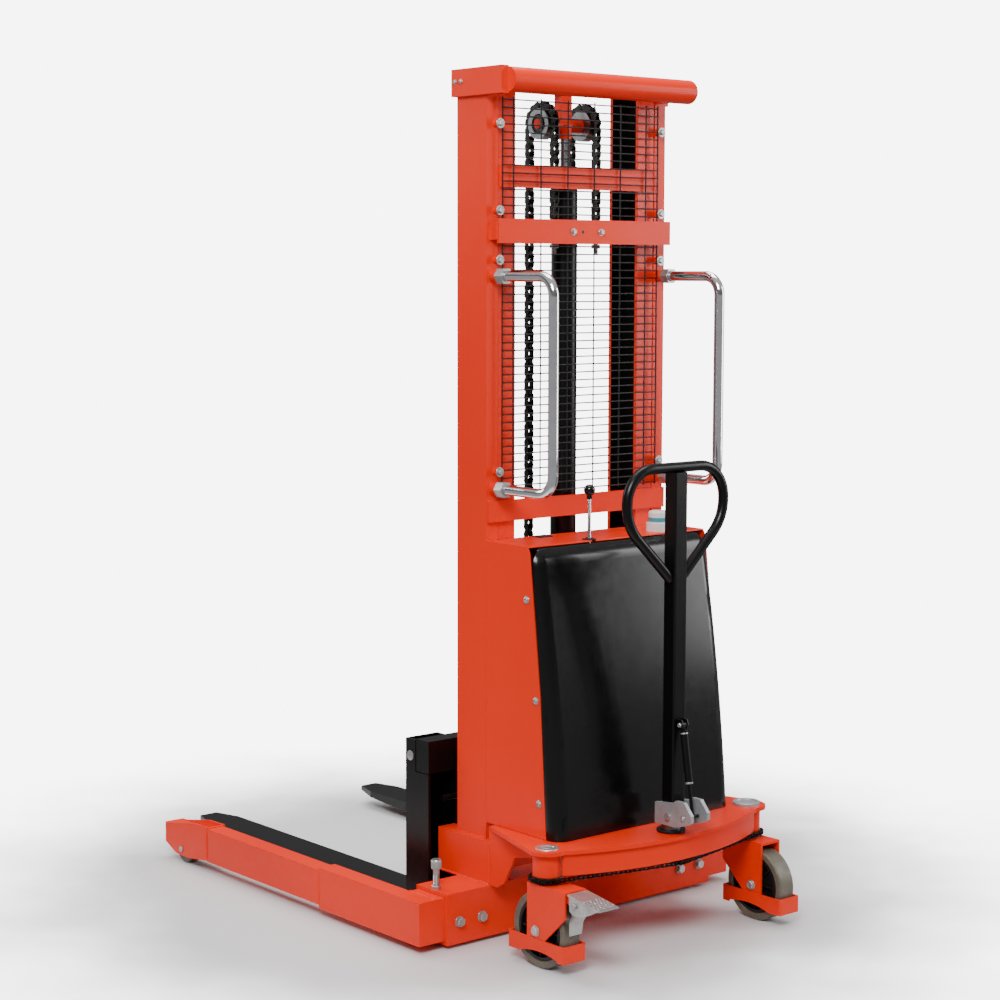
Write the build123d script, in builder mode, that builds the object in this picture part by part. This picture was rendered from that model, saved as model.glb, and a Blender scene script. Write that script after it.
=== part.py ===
from build123d import *
import math
import os

# Walkie stacker with a two-stage mast, straddle legs, a chain-steered pair of casters
# and a tiller.  Millimetres.  +X is the machine's right, +Y points along the forks,
# +Z is up; the origin is on the floor under the middle of the bounding box.

os.makedirs("parts", exist_ok=True)


# Drawing dimensions along Y are taken from the middle of the forks-to-fork-frame length;
# the brake pedal behind it moves the bounding box's centre back by this much.
DATUM_SHIFT = 31.0


def save(piece, name):
    """Move one finished piece to the shared origin, label it and write its STEP file."""
    placed = piece.part.moved(Location((0, DATUM_SHIFT, 0)))
    placed.label = name
    export_step(placed, f"parts/{name}.step")


SIDES = (("left", -1), ("right", 1))

# ---------------------------------------------------------------- mast
MAST_HALF = 290.0          # outer face of the outer columns
MAST_TOP = 2080.0
COLUMN_REAR = -418.0
COLUMN_FRONT = -308.0
COLUMN_TOP = 2016.0
COLUMN_WALL = 10.0
COLUMN_WEB = 8.0
COLUMN_FLANGE = 36.0
INNER_OUT = 252.0          # outer face of the inner columns
INNER_IN = 200.0           # free edge of their flanges
INNER_REAR = -416.0
INNER_FRONT = -312.0
INNER_BOTTOM = 150.0
INNER_TOP = 2070.0
LIFT_STROKE = 1450.0
TUBE_R = 29.5
TUBE_Y = -480.0
TUBE_Z = 2048.0
BAR_LOW, BAR_HIGH = 1671.0, 1729.0
LOWER_BAR_LOW, LOWER_BAR_HIGH = 1010.0, 1060.0
BAR_REAR = -451.0
BAR_THICK = 8.0

# ---------------------------------------------------------------- guard
GUARD_Y = -434.0           # rear face of the horizontal wires
WIRE = 2.4
GUARD_HALF = 253.0
GUARD_LOW, GUARD_HIGH = 1076.0, 2007.0
WIRE_PITCH = 19.0
UPRIGHT_PITCH = 86.0
UPRIGHT_FIRST = -218.0
LUG_HEIGHTS = (1130.0, 1632.0, 1748.0, 1950.0)
LUG_X = 262.0

# ---------------------------------------------------------------- lift gear
CYL_Y = -366.0
CYL_R = 32.0
CYL_BORE_R = 25.0
CYL_LOW, CYL_HIGH = 135.0, 1810.0
ROD_R = 12.5
SHEAVE_X = 68.0
SHEAVE_Y = -360.0
SHEAVE_Z = 1960.0
SHEAVE_R = 37.2
CHAIN_R = 46.0             # centre line of the chain on the sheave
CHAIN_W = 20.0
CHAIN_H = 17.0
ANCHOR_Z = 1712.0
CARRIAGE_CHAIN_Z = 430.0

# ---------------------------------------------------------------- base
BEAM_HALF = 438.0
BEAM_REAR, BEAM_FRONT = -454.0, -334.0
BEAM_LOW, BEAM_HIGH = 10.0, 135.0
BEAM_WALL = 8.0
LEG_OUT = 515.0
LEG_W = 50.0
LEG_REAR, LEG_STEP, LEG_FRONT = -445.0, -35.0, 483.0
LEG_LOW, LEG_HIGH = 21.0, 126.0
LEG_WALL = 5.0
LOAD_WHEEL_R = 39.0
LOAD_WHEEL_Y = 612.0
LOAD_WHEEL_HALF = 18.0
LOAD_AXLE_R = 8.0
TOE_END = 694.0

# ---------------------------------------------------------------- forks and carriage
FORK_OUT = 335.0
FORK_W = 100.0
FORK_HEEL = -250.0
FORK_FACE = -159.0
FORK_TIP = 840.0
FORK_TOP = 55.0
FORK_BOTTOM = 15.0
SHANK_TOP = 452.0
SHEET = 8.0
BEAM_Z0, BEAM_Z1 = 374.0, 455.0

# ---------------------------------------------------------------- deck and casters
DECK_TOP = 280.0
DECK_THICK = 9.0
SKIRT_LOW = 220.0
SWIVEL_X = 331.0
SWIVEL_Y = -690.0
BOSS_R = 48.0
DECK_APEX = -812.0
WHEEL_R = 90.0
WHEEL_HALF = 25.0
HUB_R = 72.0
AXLE_R = 8.0
SLEEVE_R = 34.0
SLEEVE_LOW = 217.0
STEM_R = 15.0
STEM_TOP = 277.0
RUNNING = 0.05
FORK_PLATE = 5.0
FORK_HALF = 33.0
FORK_CROWN = 200.0
RIGHT_TRAIL = 52.0
SPROCKET_R = 35.6
SPROCKET_LOW, SPROCKET_HIGH = 206.0, 216.0
TEETH = 19

# ---------------------------------------------------------------- housing
HOUSE_LOW = 281.0
HOUSE_TOP = 966.0
HOUSE_SHEET = 3.0
HOUSE_FRONT = COLUMN_REAR - 0.5
HOSE_Z = 828.0
HOSE_R = 8.0
COVER_SKIN = 4.0
COVER_HALF = 289.0
COVER_EDGE_R = 36.0

# ---------------------------------------------------------------- tiller
STEER_Y = -760.0
PIVOT_Y, PIVOT_Z = -782.0, 324.0
ARM_X = 20.0
ARM_REAR, ARM_FRONT = -785.0, -747.0
ARM_TOP = 1139.0
LOOP_R = 12.5
LOOP_Y = -766.0
LOOP_HALF = 157.0
LOOP_TOP = 1150.0
SPRING_TOP = (-797.0, 543.0)
SPRING_FOOT = (-832.0, 328.0)


def box(x0, x1, y0, y1, z0, z1, mode=Mode.ADD):
    """A box between two corners, inside the current part."""
    with BuildSketch(Plane.XY.offset(z0), mode=Mode.PRIVATE) as base:
        with Locations(((x0 + x1) / 2, (y0 + y1) / 2)):
            Rectangle(abs(x1 - x0), abs(y1 - y0))
    extrude(base.sketch, amount=z1 - z0, mode=mode)


def rod(plane, radius, length, mode=Mode.ADD):
    """A round bar that starts at the plane and runs along its normal."""
    with BuildSketch(plane, mode=Mode.PRIVATE) as base:
        Circle(radius)
    extrude(base.sketch, amount=length, mode=mode)


def plate_yz(points, x0, x1, mode=Mode.ADD):
    """A flat plate: its outline in Y and Z, its faces at x0 and x1."""
    with BuildSketch(Plane.YZ.offset(min(x0, x1)), mode=Mode.PRIVATE) as base:
        with BuildLine():
            Polyline(*points, close=True)
        make_face()
    extrude(base.sketch, amount=abs(x1 - x0), mode=mode)


def along_x(x, y, z):
    return Plane(origin=(x, y, z), x_dir=(0, 1, 0), z_dir=(1, 0, 0))


def along_y(x, y, z):
    return Plane(origin=(x, y, z), x_dir=(1, 0, 0), z_dir=(0, 1, 0))


def upright(x, y, z):
    return Plane(origin=(x, y, z), x_dir=(1, 0, 0), z_dir=(0, 0, 1))


# ================================================================ outer mast
BOSS_HEIGHTS = (1090.0, 1594.0)
HANDLE_X = 269.0
HANDLE_BOSS_R = 15.0
HANDLE_BOSS_LEN = 26.0
LUG_R = 9.0
LUG_LEN = 11.0

with BuildPart() as columns:
    for _, s in SIDES:
        box(s * MAST_HALF, s * (MAST_HALF - COLUMN_WEB), COLUMN_REAR, COLUMN_FRONT,
            BEAM_HIGH, COLUMN_TOP)
        box(s * MAST_HALF, s * (MAST_HALF - COLUMN_FLANGE), COLUMN_REAR,
            COLUMN_REAR + COLUMN_WALL, BEAM_HIGH, COLUMN_TOP)
        box(s * MAST_HALF, s * (MAST_HALF - COLUMN_FLANGE), COLUMN_FRONT - COLUMN_WALL,
            COLUMN_FRONT, BEAM_HIGH, COLUMN_TOP)
        for z in BOSS_HEIGHTS:
            rod(along_y(s * HANDLE_X, COLUMN_REAR - HANDLE_BOSS_LEN, z), HANDLE_BOSS_R,
                HANDLE_BOSS_LEN)
        for z in LUG_HEIGHTS:
            rod(along_y(s * LUG_X, COLUMN_REAR - LUG_LEN, z), LUG_R, LUG_LEN)
save(columns, "outer_mast_columns")

END_BOX_OUT = 300.0
END_BOX_IN = 256.0
END_PLATE = 22.0
TUBE_END = 320.0
END_BOX_FRONT = COLUMN_FRONT + 10

with BuildPart() as top_member:
    for _, s in SIDES:
        box(s * END_BOX_OUT, s * END_BOX_IN, COLUMN_REAR, END_BOX_FRONT, COLUMN_TOP, MAST_TOP)
    box(-END_BOX_OUT, -(END_BOX_OUT - END_PLATE), TUBE_Y - 4, COLUMN_REAR, COLUMN_TOP, MAST_TOP)
    box(END_BOX_IN, END_BOX_OUT - END_PLATE, TUBE_Y, COLUMN_REAR, COLUMN_TOP + 6, MAST_TOP - 6)
    rod(along_x(-(END_BOX_OUT - END_PLATE), TUBE_Y, TUBE_Z), TUBE_R,
        TUBE_END + END_BOX_OUT - END_PLATE)
    fillet(top_member.edges().filter_by(GeomType.CIRCLE).group_by(Axis.X)[-1], 12)
save(top_member, "top_crossmember")

BAR_HALF = 279.0
LOWER_BAR_HALF = 288.0
BRACKET_IN = 266.0
LUG_HALF = 14.0
ANCHOR_LUG_FRONT = -390.0
ANCHOR_LUG_LOW, ANCHOR_LUG_HIGH = 1682.0, 1698.0
ANCHOR_ROD_R = 6.0
REAR_STRAND_Y = SHEAVE_Y - CHAIN_R
FRONT_STRAND_Y = SHEAVE_Y + CHAIN_R

with BuildPart() as crossbars:
    box(-BAR_HALF, BAR_HALF, BAR_REAR, BAR_REAR + BAR_THICK, BAR_LOW, BAR_HIGH)
    for _, s in SIDES:
        box(s * BRACKET_IN, s * BAR_HALF, BAR_REAR + BAR_THICK, COLUMN_REAR,
            BAR_LOW + 8, BAR_HIGH - 8)
        box(s * (SHEAVE_X - LUG_HALF), s * (SHEAVE_X + LUG_HALF), BAR_REAR + BAR_THICK,
            ANCHOR_LUG_FRONT, ANCHOR_LUG_LOW, ANCHOR_LUG_HIGH)
        rod(upright(s * SHEAVE_X, REAR_STRAND_Y, ANCHOR_LUG_LOW - 1), ANCHOR_ROD_R + 0.3,
            20, Mode.SUBTRACT)
    box(-LOWER_BAR_HALF, LOWER_BAR_HALF, COLUMN_REAR - COLUMN_WALL, COLUMN_REAR,
        LOWER_BAR_LOW, LOWER_BAR_HIGH)
save(crossbars, "mast_crossbars")

NUT_H = 10.0
NUT_AF = 19.0
ANCHOR_ROD_LOW = 1648.0
CLEVIS_HALF = 12.0

with BuildPart() as anchor_bolts:
    for _, s in SIDES:
        rod(upright(s * SHEAVE_X, REAR_STRAND_Y, ANCHOR_ROD_LOW), ANCHOR_ROD_R,
            ANCHOR_Z - ANCHOR_ROD_LOW)
        for z in (ANCHOR_LUG_LOW - NUT_H, ANCHOR_LUG_LOW - 2 * NUT_H - 1):
            with BuildSketch(upright(s * SHEAVE_X, REAR_STRAND_Y, z)):
                RegularPolygon(NUT_AF / 2, 6, major_radius=False)
            extrude(amount=NUT_H)
save(anchor_bolts, "chain_anchor_bolts")


# ---------------------------------------------------------------- mesh guard
upright_xs = [UPRIGHT_FIRST + k * UPRIGHT_PITCH for k in range(6)]
with BuildPart() as guard:
    rows = int(round((GUARD_HIGH - GUARD_LOW) / WIRE_PITCH)) + 1
    for k in range(rows):
        z = GUARD_LOW + k * WIRE_PITCH
        if BAR_LOW - 4 < z < BAR_HIGH + 4:
            continue
        box(-GUARD_HALF, GUARD_HALF, GUARD_Y, GUARD_Y + WIRE, z - WIRE / 2, z + WIRE / 2)
    for x in [-GUARD_HALF + WIRE / 2] + upright_xs + [GUARD_HALF - WIRE / 2]:
        box(x - WIRE / 2, x + WIRE / 2, GUARD_Y + WIRE, GUARD_Y + 2 * WIRE,
            GUARD_LOW - 6, GUARD_HIGH + 6)
save(guard, "mesh_guard")

# Screws and wide washers pinch the guard's side wires against the lugs on the columns.
WASHER_R = 12.0
WASHER_T = 2.5
SCREW_R = 4.0
SCREW_HEAD = 6.0
SCREW_HEAD_R = 7.0
with BuildPart() as guard_screws:
    for _, s in SIDES:
        for z in LUG_HEIGHTS:
            seat = GUARD_Y
            rod(along_y(s * LUG_X, seat, z), SCREW_R, COLUMN_REAR - LUG_LEN - seat)
            rod(along_y(s * LUG_X, seat - WASHER_T, z), WASHER_R, WASHER_T)
            rod(along_y(s * LUG_X, seat - WASHER_T - SCREW_HEAD, z), SCREW_HEAD_R, SCREW_HEAD)
save(guard_screws, "guard_screws")

# ---------------------------------------------------------------- side handles
HANDLE_R = 12.5
HANDLE_OUT = -635.0
HANDLE_BEND = 46.0
NUT_LEN = 24.0
NUT_R = 17.5
handle_start = COLUMN_REAR - HANDLE_BOSS_LEN

with BuildPart() as handles:
    for _, s in SIDES:
        with BuildLine(Plane.YZ.offset(s * HANDLE_X)) as path:
            FilletPolyline(
                (handle_start, BOSS_HEIGHTS[0]),
                (HANDLE_OUT, BOSS_HEIGHTS[0]),
                (HANDLE_OUT, BOSS_HEIGHTS[1]),
                (handle_start, BOSS_HEIGHTS[1]),
                radius=HANDLE_BEND,
            )
        with BuildSketch(along_y(s * HANDLE_X, handle_start, BOSS_HEIGHTS[0])):
            Circle(HANDLE_R)
        sweep(path=path.line)
save(handles, "side_handles")

with BuildPart() as handle_nuts:
    for _, s in SIDES:
        for z in BOSS_HEIGHTS:
            plane = along_y(s * HANDLE_X, handle_start - NUT_LEN, z)
            with BuildSketch(plane):
                RegularPolygon(NUT_R, 6, major_radius=False)
                Circle(HANDLE_R + 0.3, mode=Mode.SUBTRACT)
            extrude(amount=NUT_LEN)
save(handle_nuts, "handle_nuts")

# ================================================================ base frame
FOOT_OUT = 306.0
FOOT_REAR, FOOT_FRONT = -450.0, -253.0
FOOT_TOP = 240.0
FOOT_IN = 256.0
GUSSET_IN = 298.0
BOLT_XS = (332.0, 401.0)
BOLT_Z = 64.0
BOLT_R = 7.0
CLAMP_X, CLAMP_Y = 421.0, -391.0
CLAMP_R = 8.0

with BuildPart() as base_beam:
    box(-BEAM_HALF, BEAM_HALF, BEAM_REAR, BEAM_FRONT, BEAM_LOW, BEAM_HIGH)
    box(-BEAM_HALF, BEAM_HALF, BEAM_REAR + BEAM_WALL, BEAM_FRONT - BEAM_WALL,
        BEAM_LOW + BEAM_WALL + 2, BEAM_HIGH - BEAM_WALL, Mode.SUBTRACT)
    for _, s in SIDES:
        for x in BOLT_XS:
            rod(along_y(s * x, BEAM_REAR - 1, BOLT_Z), BOLT_R + 0.3, BEAM_WALL + 2,
                Mode.SUBTRACT)
        rod(upright(s * CLAMP_X, CLAMP_Y, BEAM_HIGH - BEAM_WALL - 1), CLAMP_R + 0.3,
            BEAM_WALL + 2, Mode.SUBTRACT)
save(base_beam, "base_beam")

with BuildPart() as foot_blocks:
    for _, s in SIDES:
        box(s * FOOT_OUT, s * MAST_HALF, FOOT_REAR, FOOT_FRONT, BEAM_HIGH, FOOT_TOP)
        box(s * MAST_HALF, s * FOOT_IN, FOOT_REAR, COLUMN_REAR, BEAM_HIGH, FOOT_TOP)
        box(s * MAST_HALF, s * FOOT_IN, COLUMN_FRONT, FOOT_FRONT, BEAM_HIGH, FOOT_TOP)
        plate_yz(((FOOT_REAR, BEAM_HIGH), (FOOT_REAR, DECK_TOP - DECK_THICK),
                  (-638.0, DECK_TOP - DECK_THICK), (-638.0, 240.0), (-545.0, 222.0),
                  (-505.0, 150.0), (-480.0, BEAM_HIGH)), s * GUSSET_IN, s * FOOT_OUT)
save(foot_blocks, "mast_foot_blocks")

BOLT_AF = 22.0
BOLT_HEAD = 11.0
CLAMP_HEAD_R = 12.5
CLAMP_HEAD_Z = 183.0
CLAMP_HEAD_H = 23.0

with BuildPart() as leg_bolts:
    for _, s in SIDES:
        for x in BOLT_XS:
            with BuildSketch(along_y(s * x, BEAM_REAR - BOLT_HEAD, BOLT_Z)):
                RegularPolygon(BOLT_AF / 2, 6, major_radius=False)
            extrude(amount=BOLT_HEAD)
            rod(along_y(s * x, BEAM_REAR, BOLT_Z), BOLT_R, BEAM_WALL - 0.5)
        rod(upright(s * CLAMP_X, CLAMP_Y, LEG_HIGH + 1), CLAMP_R, CLAMP_HEAD_Z - LEG_HIGH - 1)
        rod(upright(s * CLAMP_X, CLAMP_Y, CLAMP_HEAD_Z), CLAMP_HEAD_R, CLAMP_HEAD_H)
        with BuildSketch(upright(s * CLAMP_X, CLAMP_Y, CLAMP_HEAD_Z + CLAMP_HEAD_H)):
            RegularPolygon(7.0, 6, major_radius=False)
        extrude(amount=-12, mode=Mode.SUBTRACT)
save(leg_bolts, "leg_lock_bolts")

# ---------------------------------------------------------------- straddle legs
SOCKET_IN = 250.0
TOE_PLATE = 6.0
TOE_WIDE = 459.0

for side, s in SIDES:
    with BuildPart() as leg:
        inner = LEG_OUT - LEG_W
        box(s * LEG_OUT, s * inner, LEG_REAR, LEG_STEP, LEG_LOW, LEG_HIGH)
        box(s * LEG_OUT, s * inner, LEG_STEP, LEG_FRONT, LEG_LOW + 9, LEG_HIGH - 6)
        box(s * (LEG_OUT - LEG_WALL), s * (inner + LEG_WALL), LEG_REAR + 102, LEG_FRONT,
            LEG_LOW + 14, LEG_HIGH - 11, Mode.SUBTRACT)
        box(s * inner, s * SOCKET_IN, LEG_REAR, BEAM_FRONT - BEAM_WALL - 1, LEG_LOW, LEG_HIGH)
        box(s * (inner - 4), s * SOCKET_IN, LEG_REAR + LEG_WALL,
            BEAM_FRONT - BEAM_WALL - 1 - LEG_WALL, LEG_LOW + LEG_WALL, LEG_HIGH - LEG_WALL,
            Mode.SUBTRACT)
        toe = ((LEG_FRONT - 2, 32.0), (LEG_FRONT - 2, 124.0), (LEG_FRONT + 70, 122.0),
               (TOE_END - 25, 100.0), (TOE_END, 98.0), (TOE_END, 45.0),
               (LOAD_WHEEL_Y + 30, 22.0), (LOAD_WHEEL_Y - 28, 20.0))
        plate_yz(toe, s * LEG_OUT, s * (LEG_OUT - TOE_PLATE))
        plate_yz(toe, s * TOE_WIDE, s * (TOE_WIDE + TOE_PLATE))
        box(s * LEG_OUT, s * TOE_WIDE, TOE_END - 6, TOE_END, 60, 98)
        box(s * LEG_OUT, s * TOE_WIDE, LEG_FRONT - 2, LEG_FRONT + 3, 34, 120)
        with BuildSketch(Plane.XY.offset(96)):
            with Locations((s * (LEG_OUT + TOE_WIDE) / 2, (LEG_FRONT + TOE_END) / 2)):
                Rectangle(LEG_OUT - TOE_WIDE, TOE_END - LEG_FRONT)
        extrude(amount=3)
        rod(along_x(s * LEG_OUT - 30 * (1 + s), LOAD_WHEEL_Y, LOAD_WHEEL_R), LOAD_AXLE_R + 0.3,
            60, Mode.SUBTRACT)
    save(leg, f"straddle_leg_{side}")

    with BuildPart() as load_axle:
        middle = s * (LEG_OUT + TOE_WIDE) / 2
        rod(along_x(middle - 31, LOAD_WHEEL_Y, LOAD_WHEEL_R), LOAD_AXLE_R, 62)
    save(load_axle, f"load_axle_{side}")

    with BuildPart() as load_wheel:
        rod(along_x(middle - LOAD_WHEEL_HALF, LOAD_WHEEL_Y, LOAD_WHEEL_R), LOAD_WHEEL_R,
            2 * LOAD_WHEEL_HALF)
        rod(along_x(middle - LOAD_WHEEL_HALF, LOAD_WHEEL_Y, LOAD_WHEEL_R),
            LOAD_AXLE_R + RUNNING, 2 * LOAD_WHEEL_HALF, Mode.SUBTRACT)
        rims = load_wheel.edges().filter_by(GeomType.CIRCLE).group_by(
            lambda edge: round(edge.radius))[-1]
        fillet(rims, 3)
    save(load_wheel, f"load_wheel_{side}")

# ================================================================ deck
deck_back = Plane.XY.offset(DECK_TOP - DECK_THICK)
HOLE_GAP = 0.3


def deck_outline(inset):
    """The deck seen from above: straight sides, round corners and a bowed rear edge."""
    front, half = FOOT_REAR - 1, FOOT_OUT - inset
    radius = BOSS_R - inset
    with BuildSketch(mode=Mode.PRIVATE) as outline:
        with BuildLine():
            left = (-SWIVEL_X - radius, SWIVEL_Y)
            right = (SWIVEL_X + radius, SWIVEL_Y)
            left_end = (-SWIVEL_X + 12, SWIVEL_Y - radius * 0.985)
            right_end = (SWIVEL_X - 12, SWIVEL_Y - radius * 0.985)
            bulge = radius * 0.70
            Line((-half, front), left)
            ThreePointArc(left, (-SWIVEL_X - bulge, SWIVEL_Y - bulge), left_end)
            ThreePointArc(left_end, (0, DECK_APEX + inset), right_end)
            ThreePointArc(right_end, (SWIVEL_X + bulge, SWIVEL_Y - bulge), right)
            Line(right, (half, front))
            Line((half, front), (-half, front))
        make_face()
    return outline.sketch


skirt_height = DECK_TOP - DECK_THICK - SKIRT_LOW
with BuildPart() as skirt:
    extrude(Plane.XY.offset(SKIRT_LOW) * deck_outline(8), amount=skirt_height)
    extrude(Plane.XY.offset(SKIRT_LOW) * deck_outline(13), amount=skirt_height,
            mode=Mode.SUBTRACT)
    box(-SWIVEL_X + 14, SWIVEL_X - 14, -830, SWIVEL_Y - 22, SKIRT_LOW, DECK_TOP,
        Mode.INTERSECT)
    for _, s in SIDES:
        rod(upright(s * SWIVEL_X, SWIVEL_Y, SKIRT_LOW), SLEEVE_R - 1, 60, Mode.SUBTRACT)

with BuildPart() as deck:
    extrude(deck_back * deck_outline(0), amount=DECK_THICK)
    for _, s in SIDES:
        rod(upright(s * SWIVEL_X, SWIVEL_Y, SLEEVE_LOW), SLEEVE_R,
            DECK_TOP - DECK_THICK - SLEEVE_LOW)
        rod(upright(s * SWIVEL_X, SWIVEL_Y, SLEEVE_LOW - 1), STEM_R + RUNNING, 80,
            Mode.SUBTRACT)
    rod(upright(0, STEER_Y, SLEEVE_LOW + 4), SLEEVE_R - 8, DECK_TOP - DECK_THICK - SLEEVE_LOW - 4)
    rod(upright(0, STEER_Y, SLEEVE_LOW), STEM_R + RUNNING, 80, Mode.SUBTRACT)
    add(skirt.part)
save(deck, "deck_plate")



# ================================================================ casters


def sprocket_at(x, y):
    """A toothed wheel on a vertical stem, in the current part."""
    with BuildSketch(upright(x, y, SPROCKET_LOW), mode=Mode.PRIVATE) as blank:
        Circle(SPROCKET_R)
        with PolarLocations(SPROCKET_R + 1.0, TEETH):
            Circle(3.4, mode=Mode.SUBTRACT)
        Circle(STEM_R + RUNNING, mode=Mode.SUBTRACT)
    extrude(blank.sketch, amount=SPROCKET_HIGH - SPROCKET_LOW)


BRAKE_PIVOT_Y, BRAKE_PIVOT_Z = -818.0, 176.0
BRAKE_EAR = ((-776.0, FORK_CROWN - 2), (-790.0, FORK_CROWN - 2), (-800.0, 187.0),
             (-826.0, 185.0), (-826.0, 166.0), (-808.0, 164.0), (-776.0, 180.0))
EAR_NEAR, EAR_FAR = 18.5, 22.5

for side, s in SIDES:
    # The left wheel stands under its swivel and its plates reach back to the brake;
    # the right wheel trails and its plates reach forward.
    reach = -1 if side == "left" else 1
    axle_y = SWIVEL_Y if side == "left" else SWIVEL_Y - RIGHT_TRAIL
    x = s * SWIVEL_X
    lower = [(axle_y - reach * 32, FORK_CROWN), (axle_y - reach * 32, 60.0),
             (axle_y + reach * 18, 60.0), (axle_y + reach * 100, 138.0),
             (axle_y + reach * 100, FORK_CROWN)]
    with BuildPart() as bracket:
        for t in (-1, 1):
            plate_yz(lower, x + t * FORK_HALF, x + t * (FORK_HALF - FORK_PLATE))
        box(x - FORK_HALF, x + FORK_HALF, axle_y - 32 if reach == 1 else axle_y - 100,
            axle_y + 100 if reach == 1 else axle_y + 32, FORK_CROWN - 6, FORK_CROWN)
        with BuildSketch(Plane.XY.offset(32)):
            with Locations((x, axle_y)):
                RectangleRounded(2 * FORK_HALF + 4, 196, 5)
                RectangleRounded(2 * FORK_HALF - 5, 187, 3, mode=Mode.SUBTRACT)
        extrude(amount=40)
        with BuildSketch(Plane.YZ.offset(x - 60)):
            with Locations((axle_y + reach * 14, 44 - 235)):
                Circle(235)
            with Locations((axle_y, 80)):
                Rectangle(150, 200, mode=Mode.INTERSECT)
        extrude(amount=120, mode=Mode.SUBTRACT)
        rod(upright(x, SWIVEL_Y, FORK_CROWN), STEM_R, STEM_TOP - FORK_CROWN)
        rod(along_x(x - 60, axle_y, WHEEL_R), AXLE_R + HOLE_GAP, 120, Mode.SUBTRACT)
        if side == "left":
            for t in (-1, 1):
                plate_yz(BRAKE_EAR, x + t * EAR_NEAR, x + t * EAR_FAR)
            rod(along_x(x - 30, BRAKE_PIVOT_Y, BRAKE_PIVOT_Z), 5 + RUNNING, 60, Mode.SUBTRACT)
    save(bracket, f"caster_fork_{side}")

    with BuildPart() as sprocket:
        sprocket_at(x, SWIVEL_Y)
    save(sprocket, f"caster_sprocket_{side}")

    with BuildPart() as axle:
        rod(along_x(x - FORK_HALF, axle_y, WHEEL_R), AXLE_R, 2 * FORK_HALF)
        for t in (-1, 1):
            rod(along_x(x + t * (FORK_HALF + 0.2) - (8 if t < 0 else 0), axle_y, WHEEL_R),
                13.0, 8)
    save(axle, f"caster_axle_{side}")

    with BuildPart() as hub:
        rod(along_x(x - WHEEL_HALF + 2, axle_y, WHEEL_R), HUB_R - 0.3, 2 * WHEEL_HALF - 4)
        for t in (-1, 1):
            start = x + t * (WHEEL_HALF - 2)
            with BuildSketch(along_x(start, axle_y, WHEEL_R)):
                Circle(HUB_R - 8)
                Circle(26, mode=Mode.SUBTRACT)
            extrude(amount=-t * 12, mode=Mode.SUBTRACT)
        rod(along_x(x - 40, axle_y, WHEEL_R), AXLE_R + RUNNING, 80, Mode.SUBTRACT)
    save(hub, f"caster_hub_{side}")

    with BuildPart() as tread:
        with BuildSketch(Plane.XZ.offset(-axle_y)):
            with Locations((x, WHEEL_R + (WHEEL_R + HUB_R) / 2)):
                RectangleRounded(2 * WHEEL_HALF, WHEEL_R - HUB_R, 5)
        revolve(axis=Axis((x, axle_y, WHEEL_R), (1, 0, 0)))
    save(tread, f"caster_tread_{side}")

# ---------------------------------------------------------------- parking brake
PEDAL_HALF = 30.0
CHEEK_OUT, CHEEK_IN = 27.5, 24.0
SHOE_HALF = 17.5
with BuildPart() as pedal:
    plate_yz(((-796.0, 195.0), (-796.0, 199.0), (-902.0, 184.0), (-902.0, 180.0)),
             -SWIVEL_X - PEDAL_HALF, -SWIVEL_X + PEDAL_HALF)
    for t in (-1, 1):
        plate_yz(((-797.0, 197.0), (-800.0, 160.0), (-812.0, 152.0), (-832.0, 153.0),
                  (-868.0, 166.0), (-896.0, 181.5)),
                 -SWIVEL_X + t * CHEEK_OUT, -SWIVEL_X + t * CHEEK_IN)
    rod(along_x(-SWIVEL_X - PEDAL_HALF, BRAKE_PIVOT_Y, BRAKE_PIVOT_Z), 5, 2 * PEDAL_HALF)
    plate_yz(((-812.0, 180.0), (-798.0, 152.0), (-788.0, 128.0), (-788.0, 98.0),
              (-792.0, 98.0), (-797.0, 126.0), (-813.0, 152.0), (-824.0, 180.0)),
             -SWIVEL_X - SHOE_HALF, -SWIVEL_X + SHOE_HALF)
save(pedal, "brake_pedal")

# ---------------------------------------------------------------- steering chain
CHAIN_IN, CHAIN_OUT = 36.2, 43.6


def belt(radius):
    """The outline that wraps the three sprockets at this radius."""
    with BuildSketch(mode=Mode.PRIVATE) as outline:
        with Locations((-SWIVEL_X, SWIVEL_Y), (SWIVEL_X, SWIVEL_Y), (0, STEER_Y)):
            Circle(radius)
        make_hull()
    return outline.sketch


with BuildPart() as steering_chain:
    low = Plane.XY.offset(SPROCKET_LOW + 0.5)
    height = SPROCKET_HIGH - SPROCKET_LOW - 1
    extrude(low * belt(CHAIN_OUT), amount=height)
    extrude(low * belt(CHAIN_IN), amount=height, mode=Mode.SUBTRACT)
save(steering_chain, "steering_chain")

# ================================================================ tiller
POST_R = 24.0
with BuildPart() as post:
    rod(upright(0, STEER_Y, DECK_TOP + 0.5), POST_R, 302.0 - DECK_TOP - 0.5)
    rod(upright(0, STEER_Y, SPROCKET_LOW - 6), STEM_R, DECK_TOP + 1 - SPROCKET_LOW + 6)
    sprocket_at(0, STEER_Y)
    rod(upright(0, STEER_Y, SPROCKET_LOW), STEM_R + 1, SPROCKET_HIGH - SPROCKET_LOW)
save(post, "steering_post")

EAR_IN, EAR_OUT = 22.0, 32.0
PIN_R = 5.0
with BuildPart() as head:
    ear = ((-737.0, 302.0), (-737.0, 352.0), (-796.0, 358.0), (-806.0, 366.0), (-834.0, 366.0),
           (-858.0, 338.0), (-858.0, 322.0), (-846.0, 314.0), (-806.0, 302.0))
    for t in (-1, 1):
        plate_yz(ear, t * EAR_IN, t * EAR_OUT)
    box(-EAR_IN, EAR_IN, -806, -737, 302, 308)
    box(-EAR_IN, EAR_IN, -743, -737, 308, 350)
    rod(along_x(-EAR_OUT - 1, PIVOT_Y, PIVOT_Z), PIN_R + RUNNING, 2 * EAR_OUT + 2, Mode.SUBTRACT)
save(head, "tiller_bracket")

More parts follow.
